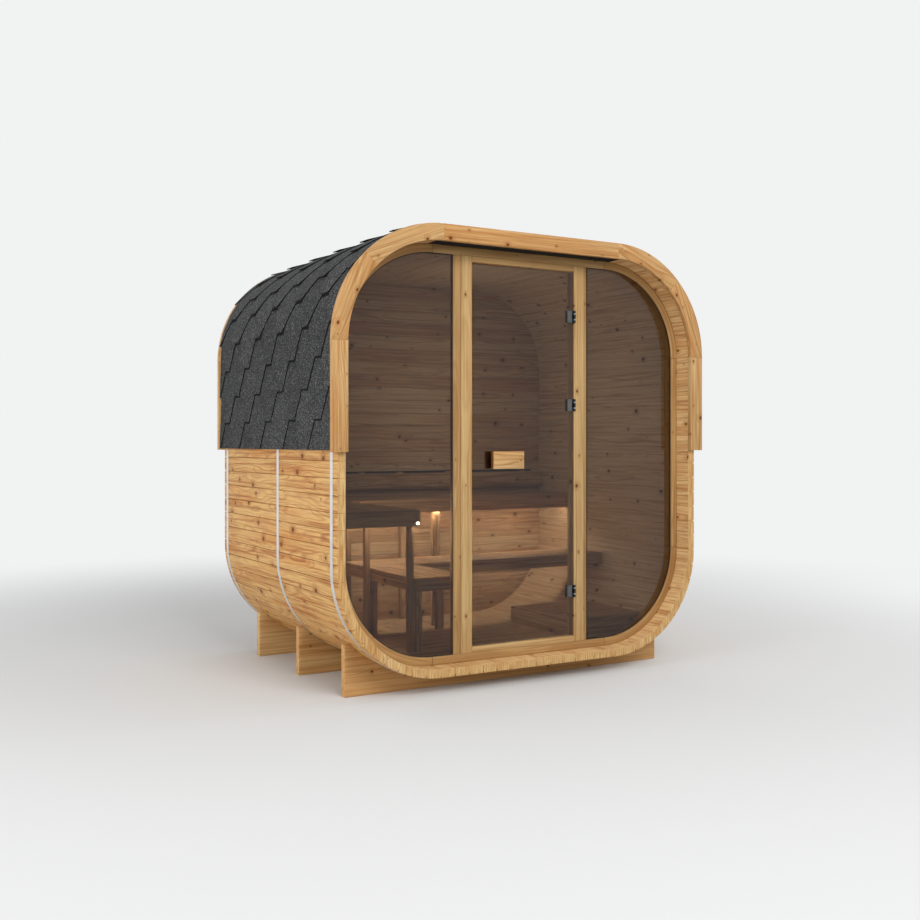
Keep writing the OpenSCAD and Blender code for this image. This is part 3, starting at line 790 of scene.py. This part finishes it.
cap = [(-CAP_WIDE / 2, 0), (CAP_WIDE / 2, 0), (CAP_WIDE / 2, CAP_LONG), (-CAP_WIDE / 2, CAP_LONG)]
caps = covering(shingle(cap, CAP_LONG, step, lift=CAP_LIFT, axis=1), CAPS,
                (ROOF_RIDGE, -DEPTH_HALF, 0), 9, Up=(0, EXPOSED, 0))
trimmed(caps, BACK_END)
piece("ridge_caps", caps)

# ---- Fascias ----
# A band of spruce boards on edge closes each end of the roof: an upright, two curved pieces
# sawn from wide boards, and a level board. They butt together and are screwed from behind.

FASCIA_BUTT, FASCIA_EASE = 0.0001, 0.0008


def ring_piece(centre, outer, inner, start, end):
    """The outline of a curved piece between two angles, and the direction of its chord."""
    gap = math.degrees(FASCIA_BUTT / outer)
    rim = arc(centre, outer, start + gap, end - gap)
    hollow = arc(centre, inner, end - gap, start + gap)
    middle = math.radians((start + end) / 2)
    return rim + hollow, (-math.sin(middle), 0, math.cos(middle))


band_low, band_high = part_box("front_fascia_top")
BAND = band_high.z - band_low.z
RIM_R = CORNER_R + band_high.z - SHELL_HIGH
fascia_spruce = pine("planed_fascia_spruce", "#E0C28C", "#D6B07A", "#CE9C64", "#9E6732", "#6E3E12",
                     1.0, 0.8, 1.0, 1.1, 0.17)
butt, top = Vector((FASCIA_BUTT, 0, 0)), CORNER_HIGH - FASCIA_BUTT
for end in ("front", "back"):
    for side, sign in (("left", -1), ("right", 1)):
        low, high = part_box(f"{end}_fascia_{side}")
        outside, inside = (low.x, low.x + BAND) if sign < 0 else (high.x, high.x - BAND)
        boards = Timber(end + side)
        upright = [(outside, low.z), (inside, low.z), (inside, top), (outside, top)]
        boards.plate(upright, low.y, high.y, (0, 0, 1), FASCIA_EASE)
        for start in (0, 45) if sign > 0 else (135, 90):
            curved = ring_piece((sign * CORNER_X, CORNER_HIGH), RIM_R, RIM_R - BAND, start, start + 45)
            boards.plate(curved[0], low.y, high.y, curved[1], FASCIA_EASE)
        piece(f"{end}_band_{side}", boards, [f"{end}_fascia_{side}"], fascia_spruce)
    low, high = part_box(end + "_fascia_top")
    level = Timber(end)
    level.box(low + butt, high - butt, FASCIA_EASE)
    piece(end + "_band_top", level, [end + "_fascia_top"], fascia_spruce)

# ---- Front frame ----
# The glazed wall is framed in planed spruce: a curved frame let into the shell, posts beside
# the windows, jambs and rails round the door. Thin black rubber seals the fixed panes; their
# black is partly painted shade, for the gap between frame and pane.

frame_low, frame_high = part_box("front_frame_left")
OPEN_HALF = -frame_high.x
FRAME_IN = SHELL_HALF - OPEN_HALF
FRAME_Y0, FRAME_Y1 = frame_low.y, frame_high.y
FRAME_GAP, JOINERY_EASE = 0.0003, 0.0018
SPANS = [0, QUARTER, 2 * CORNER_X + QUARTER, 2 * CORNER_X + 2 * QUARTER]
SPANS += [s + CORNER_HIGH - CORNER_LOW + LEFT_WALL_TOP for s in SPANS]


def bent_strips(seed, spans, y0, y1, depth0, depth1, finish, chamfer=SOFT_EASE, tone=None):
    """Strips that follow the shell, between distances round it and between two depths inside it."""
    strips = Timber(seed)
    for start, end in spans:
        strip = block(Vector((start + HAIR, y0, -depth1)), Vector((end - HAIR, y1, -depth0)))
        count = int((end - start) / 0.025)
        for i in range(1, count):
            sawn(strip, (start + (end - start) * i / count, 0, 0), (1, 0, 0))
        strips.add(strip, (1, 0, 0), (0, -1, 0), chamfer, tone=tone)
    mesh = strips.mesh()
    mesh.materials.append(finish)
    return grown(mesh, (bend_round_shell, ROUND_SHELL))


joinery_spruce = pine("planed_joinery_spruce", "#D1B17C", "#C49F6A", "#AF8A58", "#93663A", "#6A3C16",
                      0.6, 0.8, 0.8, 0.7)
PARTS = list(zip(SPANS, SPANS[1:] + [OUTLINE]))
FRAME_SPANS = {"top": PARTS[:3], "left": PARTS[3:4], "bottom": PARTS[4:7], "right": PARTS[7:]}
for side, spans in FRAME_SPANS.items():
    strips = bent_strips("front" + side, spans, FRAME_Y0, FRAME_Y1, STAVE + FRAME_GAP, FRAME_IN,
                         joinery_spruce, chamfer=0.0035, tone=0.9)
    piece("glazed_frame_" + side, strips, ["front_frame_" + side])

glass_low, glass_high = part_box("door_glass")
DOOR_GAP = 0.005
door_left, door_right = glass_low.x - DOOR_GAP, glass_high.x + DOOR_GAP
door_low, door_high = glass_low.z - DOOR_GAP, glass_high.z + DOOR_GAP
rail_low, rail_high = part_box("door_rails")
post_low, post_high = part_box("window_posts")
jamb_left, jamb_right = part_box("door_jamb_left")[0].x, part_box("door_jamb_right")[1].x
STOP_WIDE, STOP_Y0, STOP_Y1 = 0.010, -0.688, -0.674
POST_BACK, POST_FACE_Y1 = 0.007, -0.690

# The posts take a darker, redder tone than the jambs: painted shade, as they stand back beside them.
posts = Timber("posts")
for x0, x1, left, right in ((post_low.x, jamb_left, 0.016, 0.0), (jamb_right, post_high.x, 0.0, 0.008)):
    posts.box((x0, FRAME_Y0 + POST_BACK, post_low.z), (x1, POST_FACE_Y1, post_high.z), JOINERY_EASE,
              tone=0.8, log=(x0, 0.01, 0.07))
    posts.box((x0 + left, POST_FACE_Y1 + HAIR, post_low.z), (x1 - right, FRAME_Y1, post_high.z),
              JOINERY_EASE, tone=0.8)
piece("glazing_posts", posts, ["window_posts"], joinery_spruce)
for side, x0, x1, stop in (("left", jamb_left, door_left, door_left),
                           ("right", door_right, jamb_right, door_right - STOP_WIDE)):
    jamb = Timber("jamb" + side)
    jamb.box((x0, FRAME_Y0, post_low.z), (x1, FRAME_Y1, post_high.z), JOINERY_EASE, tone=0.2)
    jamb.box((stop, STOP_Y0, door_low), (stop + STOP_WIDE, STOP_Y1, door_high), FINE_EASE)
    piece("jamb_with_stop_" + side, jamb, ["door_jamb_" + side], joinery_spruce)
# The head rail takes the darkest, reddest tone: painted shade under the roof's overhang. The sill takes a
# pale one.
rails = Timber("rails")
for z0, z1, tone in ((rail_low.z, door_low, 0.1), (door_high, rail_high.z, 1.0)):
    rails.box((door_left, FRAME_Y0, z0), (door_right, FRAME_Y1, z1), JOINERY_EASE, tone=tone)
piece("head_and_sill", rails, ["door_rails"], joinery_spruce)

# A thin black sheet is turned in below the staves above the glazing, as far as the curved corners.
# It is painted shade, for the deep shade under the ceiling of the front recess.
recess_shade_black = mineral_bitumen("black_recess_shade", "#060505", "#0B0A09", "#14110F")
SHADE_SHEET_DOWN, SHADE_SHEET_T = math.radians(3) * CORNER_R, 0.0012
span = (SPANS[1] - SHADE_SHEET_DOWN, SPANS[2] + SHADE_SHEET_DOWN)
# underlay is this black sheet of painted shade.
underlay = bent_strips("underlay", [span], -DEPTH_HALF + 0.002, FRAME_Y0 - CLEAR, STAVE + HAIR,
                       STAVE + HAIR + SHADE_SHEET_T, recess_shade_black, chamfer=0)
piece("black_shade_sheet", underlay)

# ---- Windows ----
# Two fixed panes of 8 mm toughened glass, bronze all through. Seen from outside they darken
# the room to brown, and mirror a little of what stands in front.


GLASS_TINT, GLASS_SHEEN = (0.56, 0.54, 0.52, 1.0), "#E4E2E6"


def bronze_glass(name):
    """Body-tinted float glass. Each face passes its share of the tint; only outer faces mirror."""
    material, add = new_material(name)
    clear = add("BsdfTransparent", {"Color": GLASS_TINT})
    sheen = add("BsdfGlossy", {"Color": linear(GLASS_SHEEN), "Roughness": 0.01})
    inside = add("NewGeometry").outputs["Backfacing"]
    outer = add("Math", 1.0, inside, operation="SUBTRACT")
    share = add("Math", add("Fresnel", {"IOR": 1.5}), outer, operation="MULTIPLY")
    mixed = add("MixShader", share, clear, sheen)
    add("OutputMaterial", {"Surface": mixed})
    return material


glass = bronze_glass("bronze_float_glass")
for name in ("window_left", "window_right", "door_glass"):
    refinished(name, glass)


def plain_finish(name, colour, roughness, bump_mm):
    """A single-coloured finish with a fine uneven surface and slightly changing gloss."""
    material, add = new_material(name)
    place = add("TexCoord").outputs["Object"]
    grain = add("TexNoise", {"Vector": place, "Scale": 300.0, "Detail": 3.0}).outputs["Fac"]
    body = add("Mix", grain, {6: linear(colour), 7: linear(colour, 0.8)}, data_type="RGBA")
    return surfaced(material, add, grain, 1.0, bump_mm / 1000, {
        "Base Color": body.outputs[2], "Roughness": uneven(add, grain, roughness)})


# The seals' black is partly painted shade, for the dark gap between the frame and the pane.
SEAL = 0.004
rubber = plain_finish("black_seal_and_painted_gap_shade", "#141312", 0.6, 0.2)
pane_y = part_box("window_left")[0].y
seal_y = (pane_y - SEAL, pane_y - HAIR)
left_span = (RIDGE - post_low.x, SPANS[5] + CORNER_X + post_low.x)
right_span = (SPANS[5] + CORNER_X + post_high.x, OUTLINE + RIDGE - post_high.x)
for side, span, post_x in (("left", left_span, post_low.x - SEAL), ("right", right_span, post_high.x)):
    ring = bent_strips("seal", [span], *seal_y, FRAME_IN, FRAME_IN + SEAL, rubber, chamfer=FINE_EASE)
    piece("seal_round_pane_" + side, ring)
    straight = Timber("seal")
    straight.box((post_x, seal_y[0], post_low.z), (post_x + SEAL, seal_y[1], post_high.z), FINE_EASE)
    piece("seal_by_post_" + side, straight, finish=rubber)

# ---- Back wall ----
# Level tongued boards fill the back end. Their ends follow the shell, and a trim like the
# front frame covers them outside.

back_low, back_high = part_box("back_wall")
BACK_BOARDS, WALL_GROOVE = 26, 0.0018
TONGUE_Y0, TONGUE_Y1 = 0.660, 0.674
INNER_R = CORNER_R - STAVE


def half_width(z):
    """Half the width between the shell's inner faces at a height."""
    out = max(CORNER_LOW - z, z - CORNER_HIGH, 0.0)
    return CORNER_X + math.sqrt(max(INNER_R ** 2 - out ** 2, 0.0))


wall = Timber("back wall")
rise = (back_high.z - back_low.z) / BACK_BOARDS
for i in range(BACK_BOARDS):
    bottom = back_low.z + rise * i
    for gap, y0, y1 in ((WALL_GROOVE / 2, back_low.y, back_high.y), (0.0, TONGUE_Y0, TONGUE_Y1)):
        levels = [bottom + gap + (rise - 2 * gap) * j / 6 for j in range(7)]
        right = [(max(half_width(z) - FRAME_GAP, 0.01), z) for z in levels]
        left = [(-x, z) for x, z in reversed(right)]
        wall.plate(left + right, y0, y1, (1, 0, 0), FINE_EASE if gap else 0)
piece("back_boards", wall, ["back_wall"], bare_spruce)

trim_low, trim_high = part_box("back_frame")
trim = bent_strips("back", PARTS, trim_low.y + HAIR, trim_high.y, STAVE + FRAME_GAP, FRAME_IN,
                   joinery_spruce)
piece("back_trim", trim, ["back_frame"])

# ---- Floor deck and platform ----
# A deck of planed slats lies on three joists inside the door. A low platform of the same
# slats stands on its right, closed by a riser board.

SLAT_T, SLAT_GAP = 0.028, 0.006
JOISTS, JOIST_WIDE = (-0.5, 0.0, 0.5), 0.045


def slats(low, high, across, count, seed):
    """Like slats side by side between two corners, laid by the row tree."""
    low, high = Vector(low), Vector(high)
    pitch = Vector((0, 0, 0))
    pitch[across] = (high[across] - low[across] + SLAT_GAP) / count
    high[across] = low[across] + pitch[across] - SLAT_GAP
    one = Timber(seed)
    one.box(low, high, 0.0025, along=1 - across, log=(0, 0, 0))
    values = {"Count": count, "Pitch": tuple(pitch), "Seed": seed}
    values.update({part: bench_wood for part in ("Finish", "Inner", "Recess", "Ends")})
    return grown(one.mesh(), (row_of_boards, values))


bench_wood = pine("planed_bench_wood", "#CFAE80", "#C39E70", "#B88F63", "#855A33", "#462614", 0.4, 0.6, 1.1)
low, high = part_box("floor_deck")
deck_under = high.z - SLAT_T
deck = slats((low.x, low.y, deck_under), high, 1, 6, 21)
piece("deck_slats", deck, ["floor_deck"])
joists = Timber("joists")
for x in JOISTS:
    joists.box((x - JOIST_WIDE / 2, low.y, low.z), (x + JOIST_WIDE / 2, high.y, deck_under - CLEAR))
piece("deck_joists", joists, finish=bench_wood)

low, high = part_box("platform")
FOOT_RIGHT = 0.738
top = slats((low.x + SLAT_T + 0.001, low.y, high.z - SLAT_T), high, 1, 6, 22)
piece("platform_slats", top, ["platform"])
risers = Timber("risers")
risers.box(low, (low.x + SLAT_T, high.y, high.z), along=1)
for y0, y1 in ((high.y - SLAT_T, high.y), (low.y, low.y + SLAT_T)):
    risers.box((low.x + SLAT_T + CLEAR, y0, low.z), (FOOT_RIGHT, y1, high.z - SLAT_T - CLEAR))
piece("platform_risers", risers, finish=bench_wood)

# ---- Benches ----
# Two tiers of slatted benches run along the left and the back. Front boards hide the bearers,
# square legs carry the runs, and a backrest stands off the back wall on short blocks.

EDGE, REST_SHADE_DEEP, REST_EASE = 0.020, 0.008, 0.010
BEARER_DEEP, BEARER_WIDE, LEFT_BEARER_Y, BACK_BEARER_X = 0.045, 0.04, -0.09, 0.4


def run(name, slat_box, across, count, boards, seed):
    """One bench run: its slats, and its front boards and bearers as a second piece."""
    tier, side = name.split("_")
    piece(name + "_slats", slats(*slat_box, across, count, seed), [f"{tier}_bench_{side}"])
    under = Timber(name)
    for corners in boards:
        under.box(*corners, SOFT_EASE)
    piece(name + "_boards", under, finish=bench_wood)


low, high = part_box("upper_bench_left")
slat_z, right = high.z - SLAT_T, high.x - EDGE
run("upper_left", ((low.x, low.y + SLAT_T + CLEAR, slat_z), (right - SLAT_GAP, high.y, high.z)), 0, 5,
    [(low, (right, low.y + SLAT_T, high.z)),
     ((right + CLEAR, low.y, low.z + EDGE + CLEAR), (high.x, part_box("upper_bench_back")[0].y, high.z)),
     ((low.x, LEFT_BEARER_Y, slat_z - BEARER_DEEP),
      (right - 0.001, LEFT_BEARER_Y + BEARER_WIDE, slat_z - CLEAR))], 31)
low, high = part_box("upper_bench_back")
slat_z = high.z - SLAT_T
run("upper_back", ((low.x + 0.001, low.y + SLAT_T + SLAT_GAP, slat_z), high), 1, 4,
    [(low, (high.x, low.y + SLAT_T, high.z)),
     ((BACK_BEARER_X, low.y + 0.05, slat_z - BEARER_DEEP),
      (BACK_BEARER_X + BEARER_WIDE, high.y, slat_z - CLEAR))], 32)
low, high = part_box("lower_bench_left")
slat_z, inner_x = high.z - SLAT_T, high.x
run("lower_left", ((low.x, low.y + SLAT_T + CLEAR, slat_z), high), 0, 3,
    [(low, (high.x, low.y + SLAT_T, high.z))]
    + [((x, low.y + SLAT_T + CLEAR, low.z), (x + SLAT_T, high.y, slat_z - CLEAR))
       for x in (low.x, high.x - SLAT_T)], 33)
low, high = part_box("lower_bench_back")
run("lower_back", ((low.x, low.y, high.z - SLAT_T), high), 1, 3,
    [((inner_x, low.y, low.z), (high.x, low.y + SLAT_T, slat_z - CLEAR)),
     ((low.x, low.y + SLAT_T, low.z), (low.x + SLAT_T, high.y, slat_z - CLEAR))], 34)

# Legs by their left and front faces, width, foot and top.
FLOOR_TOP, SHELL_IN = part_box("floor_deck")[1].z, SHELL_LOW + STAVE
UPPER_IN, LOWER_IN = 0.849, 0.474
SLIM, STOUT = 0.030, 0.045
LEGS = [
    (-0.606, -0.613, SLIM, FLOOR_TOP, UPPER_IN), (-0.606, -0.119, SLIM, FLOOR_TOP, UPPER_IN),
    (-0.523, 0.301, SLIM, SHELL_IN, UPPER_IN), (0.033, 0.301, STOUT, SHELL_IN, UPPER_IN),
    (-0.020, 0.618, STOUT, SHELL_IN, UPPER_IN), (-0.564, -0.621, SLIM, FLOOR_TOP, LOWER_IN),
    (-0.564, -0.119, SLIM, FLOOR_TOP, LOWER_IN), (-0.304, -0.621, SLIM, FLOOR_TOP, LOWER_IN),
    (-0.146, -0.070, STOUT, SHELL_IN, LOWER_IN),
]
legs = Timber("legs")
for x, y, wide, foot, top in LEGS:
    legs.box((x, y, foot + HAIR), (x + wide, y + SLAT_T, top - CLEAR), SOFT_EASE,
             tone=0.0 if wide == STOUT else None)
piece("square_legs", legs, ["bench_legs"], bench_wood)

low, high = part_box("backrest")
rest_top = high.z - REST_EASE
rest = Timber("rest")
rest.box(low, (high.x, high.y, rest_top), 0.004)
piece("backrest_board", rest, ["backrest"], bench_wood)
low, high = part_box("backrest_blocks")
BLOCK_WIDE = 0.04
blocks = Timber("blocks")
for x in (-0.90, -0.30, -0.04, 0.30, 0.86):
    blocks.box((x, low.y, low.z), (x + BLOCK_WIDE, high.y - REST_SHADE_DEEP, high.z - REST_EASE))
piece("backrest_spacers", blocks, ["backrest_blocks"], bench_wood)

# A black strip on the wall behind the top of the backrest is painted shade, for the dark gap behind the
# board's top edge.
REST_SHADE_HALF, REST_SHADE_DOWN, REST_SHADE_UP = 0.95, 0.030, 0.013
trunking = Timber("trunking")
trunking.box((-REST_SHADE_HALF, high.y - REST_SHADE_DEEP + HAIR, rest_top - REST_SHADE_DOWN),
             (REST_SHADE_HALF, high.y - HAIR, rest_top + REST_SHADE_UP), FINE_EASE)
# One black finish serves the nylon parts of the hinges and this painted shade.
black_nylon_and_shade = plain_finish("black_nylon_and_painted_shade", "#131313", 0.45, 0.1)
piece("black_rest_shade_strip", trunking, finish=black_nylon_and_shade)

# ---- Light strips ----
# Warm diodes lie behind opal covers in aluminium channels, under the inner edge of the upper
# benches. They light the wall and the lower benches and stay out of sight.

GLOW, GLOW_STRENGTH = "#FFFBEA", 100.0
CHANNEL, COVER, END_CAP, CHANNEL_EASE, BACK_STRIP = 0.0012, 0.010, 0.6, 0.0003, 0.016

opal, add = new_material("lit_opal_cover")
finish = add("BsdfPrincipled", {"Base Color": linear("#F4EBDD"), "Roughness": 0.4,
                                "Emission Color": linear(GLOW), "Emission Strength": GLOW_STRENGTH})
add("OutputMaterial", {"Surface": finish})
aluminium = brushed_steel("anodised_channel_aluminium", "#C9C9C6", 0.45, 2)
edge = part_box("upper_bench_left")[1]
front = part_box("upper_bench_back")[0].y
strip_low, strip_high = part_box("led_strips")
STRIPS = [
    ((edge.x - EDGE, strip_low.y, strip_low.z), (edge.x, front, strip_low.z + EDGE)),
    ((edge.x, front + SLAT_T, strip_low.z),
     (strip_high.x, front + SLAT_T + BACK_STRIP, strip_low.z + BACK_STRIP)),
]
covers, channels = Timber("covers"), Timber("channels")
for number, (low, high) in enumerate(STRIPS):
    low, high = Vector(low), Vector(high)
    slim = [(high.x - low.x - COVER) / 2, (high.y - low.y - COVER) / 2]
    slim[1 - number] = 0.002
    lid = high.z - CHANNEL
    covers.box((low.x + slim[0], low.y + slim[1], lid - COVER),
               (high.x - slim[0], high.y - slim[1], lid), SOFT_EASE)
    channels.box((low.x, low.y, lid), high, CHANNEL_EASE)
    if number == 0:
        channels.box((low.x, low.y, lid - COVER * END_CAP), (high.x, low.y + EASE, lid - HAIR),
                     CHANNEL_EASE)
piece("opal_covers", covers, ["led_strips"], opal)
piece("light_channels", channels, finish=aluminium)

# ---- Door ----
# One pane of the same bronze glass, hung on three stainless clamp hinges, with a spruce grip on
# each face. Two bolts with spacers hold the grips through the glass.

DOOR = "door"
HINGES = (0.431, 1.400, 1.861)
PIN_X, PIN_Y = 0.319, -0.713
HINGE_HALF, MIDDLE_HALF, KNUCKLE_R, PIN_R = 0.0315, 0.011, 0.006, 0.003
PLATE_LEFT, PLATE_RIGHT, PLATE_T, PLATE_OFF = 0.270, 0.310, 0.005, 0.0012
SCREW_X, SCREW_UP, SCREW_R, HEAD_HIGH, SOCKET_DEEP = 0.2875, 0.019, 0.0048, 0.0009, 0.0006


def rod(parts, start, end, radius, ease=0.0008, sides=32):
    """Adds a round bar between two points, with eased ends, to some parts."""
    start, end = Vector(start), Vector(end)
    bar = bmesh.new()
    bmesh.ops.create_cone(bar, cap_ends=True, segments=sides, radius1=radius, radius2=radius,
                          depth=(end - start).length)
    turn = Vector((0, 0, 1)).rotation_difference(end - start).to_matrix()
    bmesh.ops.rotate(bar, matrix=turn, verts=bar.verts)
    bmesh.ops.translate(bar, vec=(start + end) / 2, verts=bar.verts)
    parts.add(bar, end - start, turn @ Vector((1, 0, 0)), ease)


def socket_screw(parts, x, y, z, out):
    """Adds a round screw head on a plate, with a hexagon socket. out is -1 outside and 1 inside."""
    turns = [2 * math.pi * i / 24 for i in range(24)]
    rim = [(x + SCREW_R * math.cos(a), y, z + SCREW_R * math.sin(a)) for a in turns]
    head, lid = drawn_out(rim, (0, out * HEAD_HIGH, 0))
    bmesh.ops.inset_individual(head, faces=[lid], thickness=SCREW_R * 0.45)
    hole = bmesh.ops.extrude_discrete_faces(head, faces=[lid])["faces"][0]
    bmesh.ops.translate(head, vec=(0, -out * SOCKET_DEEP, 0), verts=hole.verts[:])
    bmesh.ops.remove_doubles(head, verts=head.verts, dist=0.00001)
    parts.add(head, (1, 0, 0), (0, out, 0), 0)


hinge_steel = brushed_steel("brushed_hinge_steel", "#6F6F6E", 0.4, 2)
bright_steel = brushed_steel("turned_knuckle_steel", "#C4C6C8", 0.3, 2)
plates, rings, sleeves, screws, pins, middles = (
    Timber(name) for name in ("plates", "rings", "sleeves", "screws", "pins", "middles"))
glass_front, glass_back = glass_low.y, glass_high.y
for z in HINGES:
    low, high = z - HINGE_HALF, z + HINGE_HALF
    for y0, y1, pad, out in ((glass_front - PLATE_T, glass_front - PLATE_OFF, glass_front - 0.0010, -1),
                             (glass_back + PLATE_OFF, glass_back + PLATE_T, glass_back + HAIR, 1)):
        plates.box((PLATE_LEFT + 0.005, y0, low + 0.001), (PLATE_RIGHT - 0.006, y1, high - 0.001),
                   FINE_EASE)
        sleeves.box((PLATE_LEFT, pad, low), (PLATE_RIGHT, pad + 0.0008, high), 0.0003)
        for up in (-SCREW_UP, SCREW_UP):
            socket_screw(screws, SCREW_X, y0 if out < 0 else y1, z + up, out)
    for sign in (-1, 1):
        near, ring, far = (z + sign * up for up in (MIDDLE_HALF + 0.001, MIDDLE_HALF + 0.007, HINGE_HALF))
        sleeves.box((PLATE_RIGHT - 0.0055, glass_front - PLATE_T, min(near, far)),
                    (PIN_X - 0.0035, glass_front - PLATE_OFF, max(near, far)), 0.0006)
        rod(rings, (PIN_X, PIN_Y, near), (PIN_X, PIN_Y, ring), KNUCKLE_R)
        rod(sleeves, (PIN_X, PIN_Y, ring), (PIN_X, PIN_Y, far), KNUCKLE_R - 0.0004)
    rod(middles, (PIN_X, PIN_Y, z - MIDDLE_HALF), (PIN_X, PIN_Y, z + MIDDLE_HALF), KNUCKLE_R - HAIR)
    rod(pins, (PIN_X, PIN_Y, low - HAIR), (PIN_X, PIN_Y, high + HAIR), PIN_R, 0.0004)
    pins.box((door_right - 0.003, PIN_Y, z - MIDDLE_HALF + CLEAR),
             (door_right, STOP_Y0 - 0.001, z + MIDDLE_HALF - CLEAR), 0.0004)
for name, parts, stands_for, finish, body in (
        ("plates", plates, ["door_hinge_leaves"], hinge_steel, DOOR),
        ("knuckle_rings", rings, [], bright_steel, DOOR),
        ("pads_and_sleeves", sleeves, [], black_nylon_and_shade, DOOR),
        ("screws", screws, [], hinge_steel, DOOR),
        ("pins", pins, ["frame_hinge_leaves"], hinge_steel, CABIN),
        ("middle_sleeves", middles, [], black_nylon_and_shade, CABIN)):
    piece("hinge_" + name, parts, stands_for, finish, body)

# Each grip is a pale face board glued on a darker block. The block's dark brown is painted shade, for the
# grip's shaded sides.
low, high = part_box("door_handles")
GRIP_T, FACE_T, BOLT_X = 0.030, 0.009, (-0.16, -0.06)
SPACER_R, BOLT_R, BOLT_OUT = 0.011, 0.005, 0.002
grip_wood_with_shade = pine("dark_grip_wood_painted_shade", "#9C6E44", "#8D613A", "#7E5430", "#573920", "#382415", 0.0)
faces, cores = Timber("faces"), Timber("cores")
for y0, y1 in ((low.y, low.y + FACE_T), (high.y - FACE_T, high.y)):
    faces.box((low.x, y0, low.z), (high.x, y1, high.z), 0.003, tone=0.4)
for y0, y1 in ((low.y + FACE_T, low.y + GRIP_T), (high.y - GRIP_T, high.y - FACE_T)):
    cores.box((low.x + 0.001, y0, low.z + 0.001), (high.x - 0.001, y1, high.z - 0.001), SOFT_EASE)
piece("grip_faces", faces, ["door_handles"], fascia_spruce, DOOR)
piece("grip_cores", cores, [], grip_wood_with_shade, DOOR)
middle = (low.z + high.z) / 2
bolts = Timber("bolts")
for x in BOLT_X:
    for y0, y1 in ((low.y + GRIP_T, glass_front), (glass_back, high.y - GRIP_T)):
        rod(bolts, (x, y0 + HAIR, middle), (x, y1 - HAIR, middle), SPACER_R)
    rod(bolts, (x, glass_front - BOLT_OUT, middle), (x, glass_back + BOLT_OUT, middle), BOLT_R, 0.0003)
piece("grip_spacers", bolts, [], hinge_steel, DOOR)

size = {"cad": [list(cad_low), list(cad_high)], "visual": [list(c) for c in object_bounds()]}
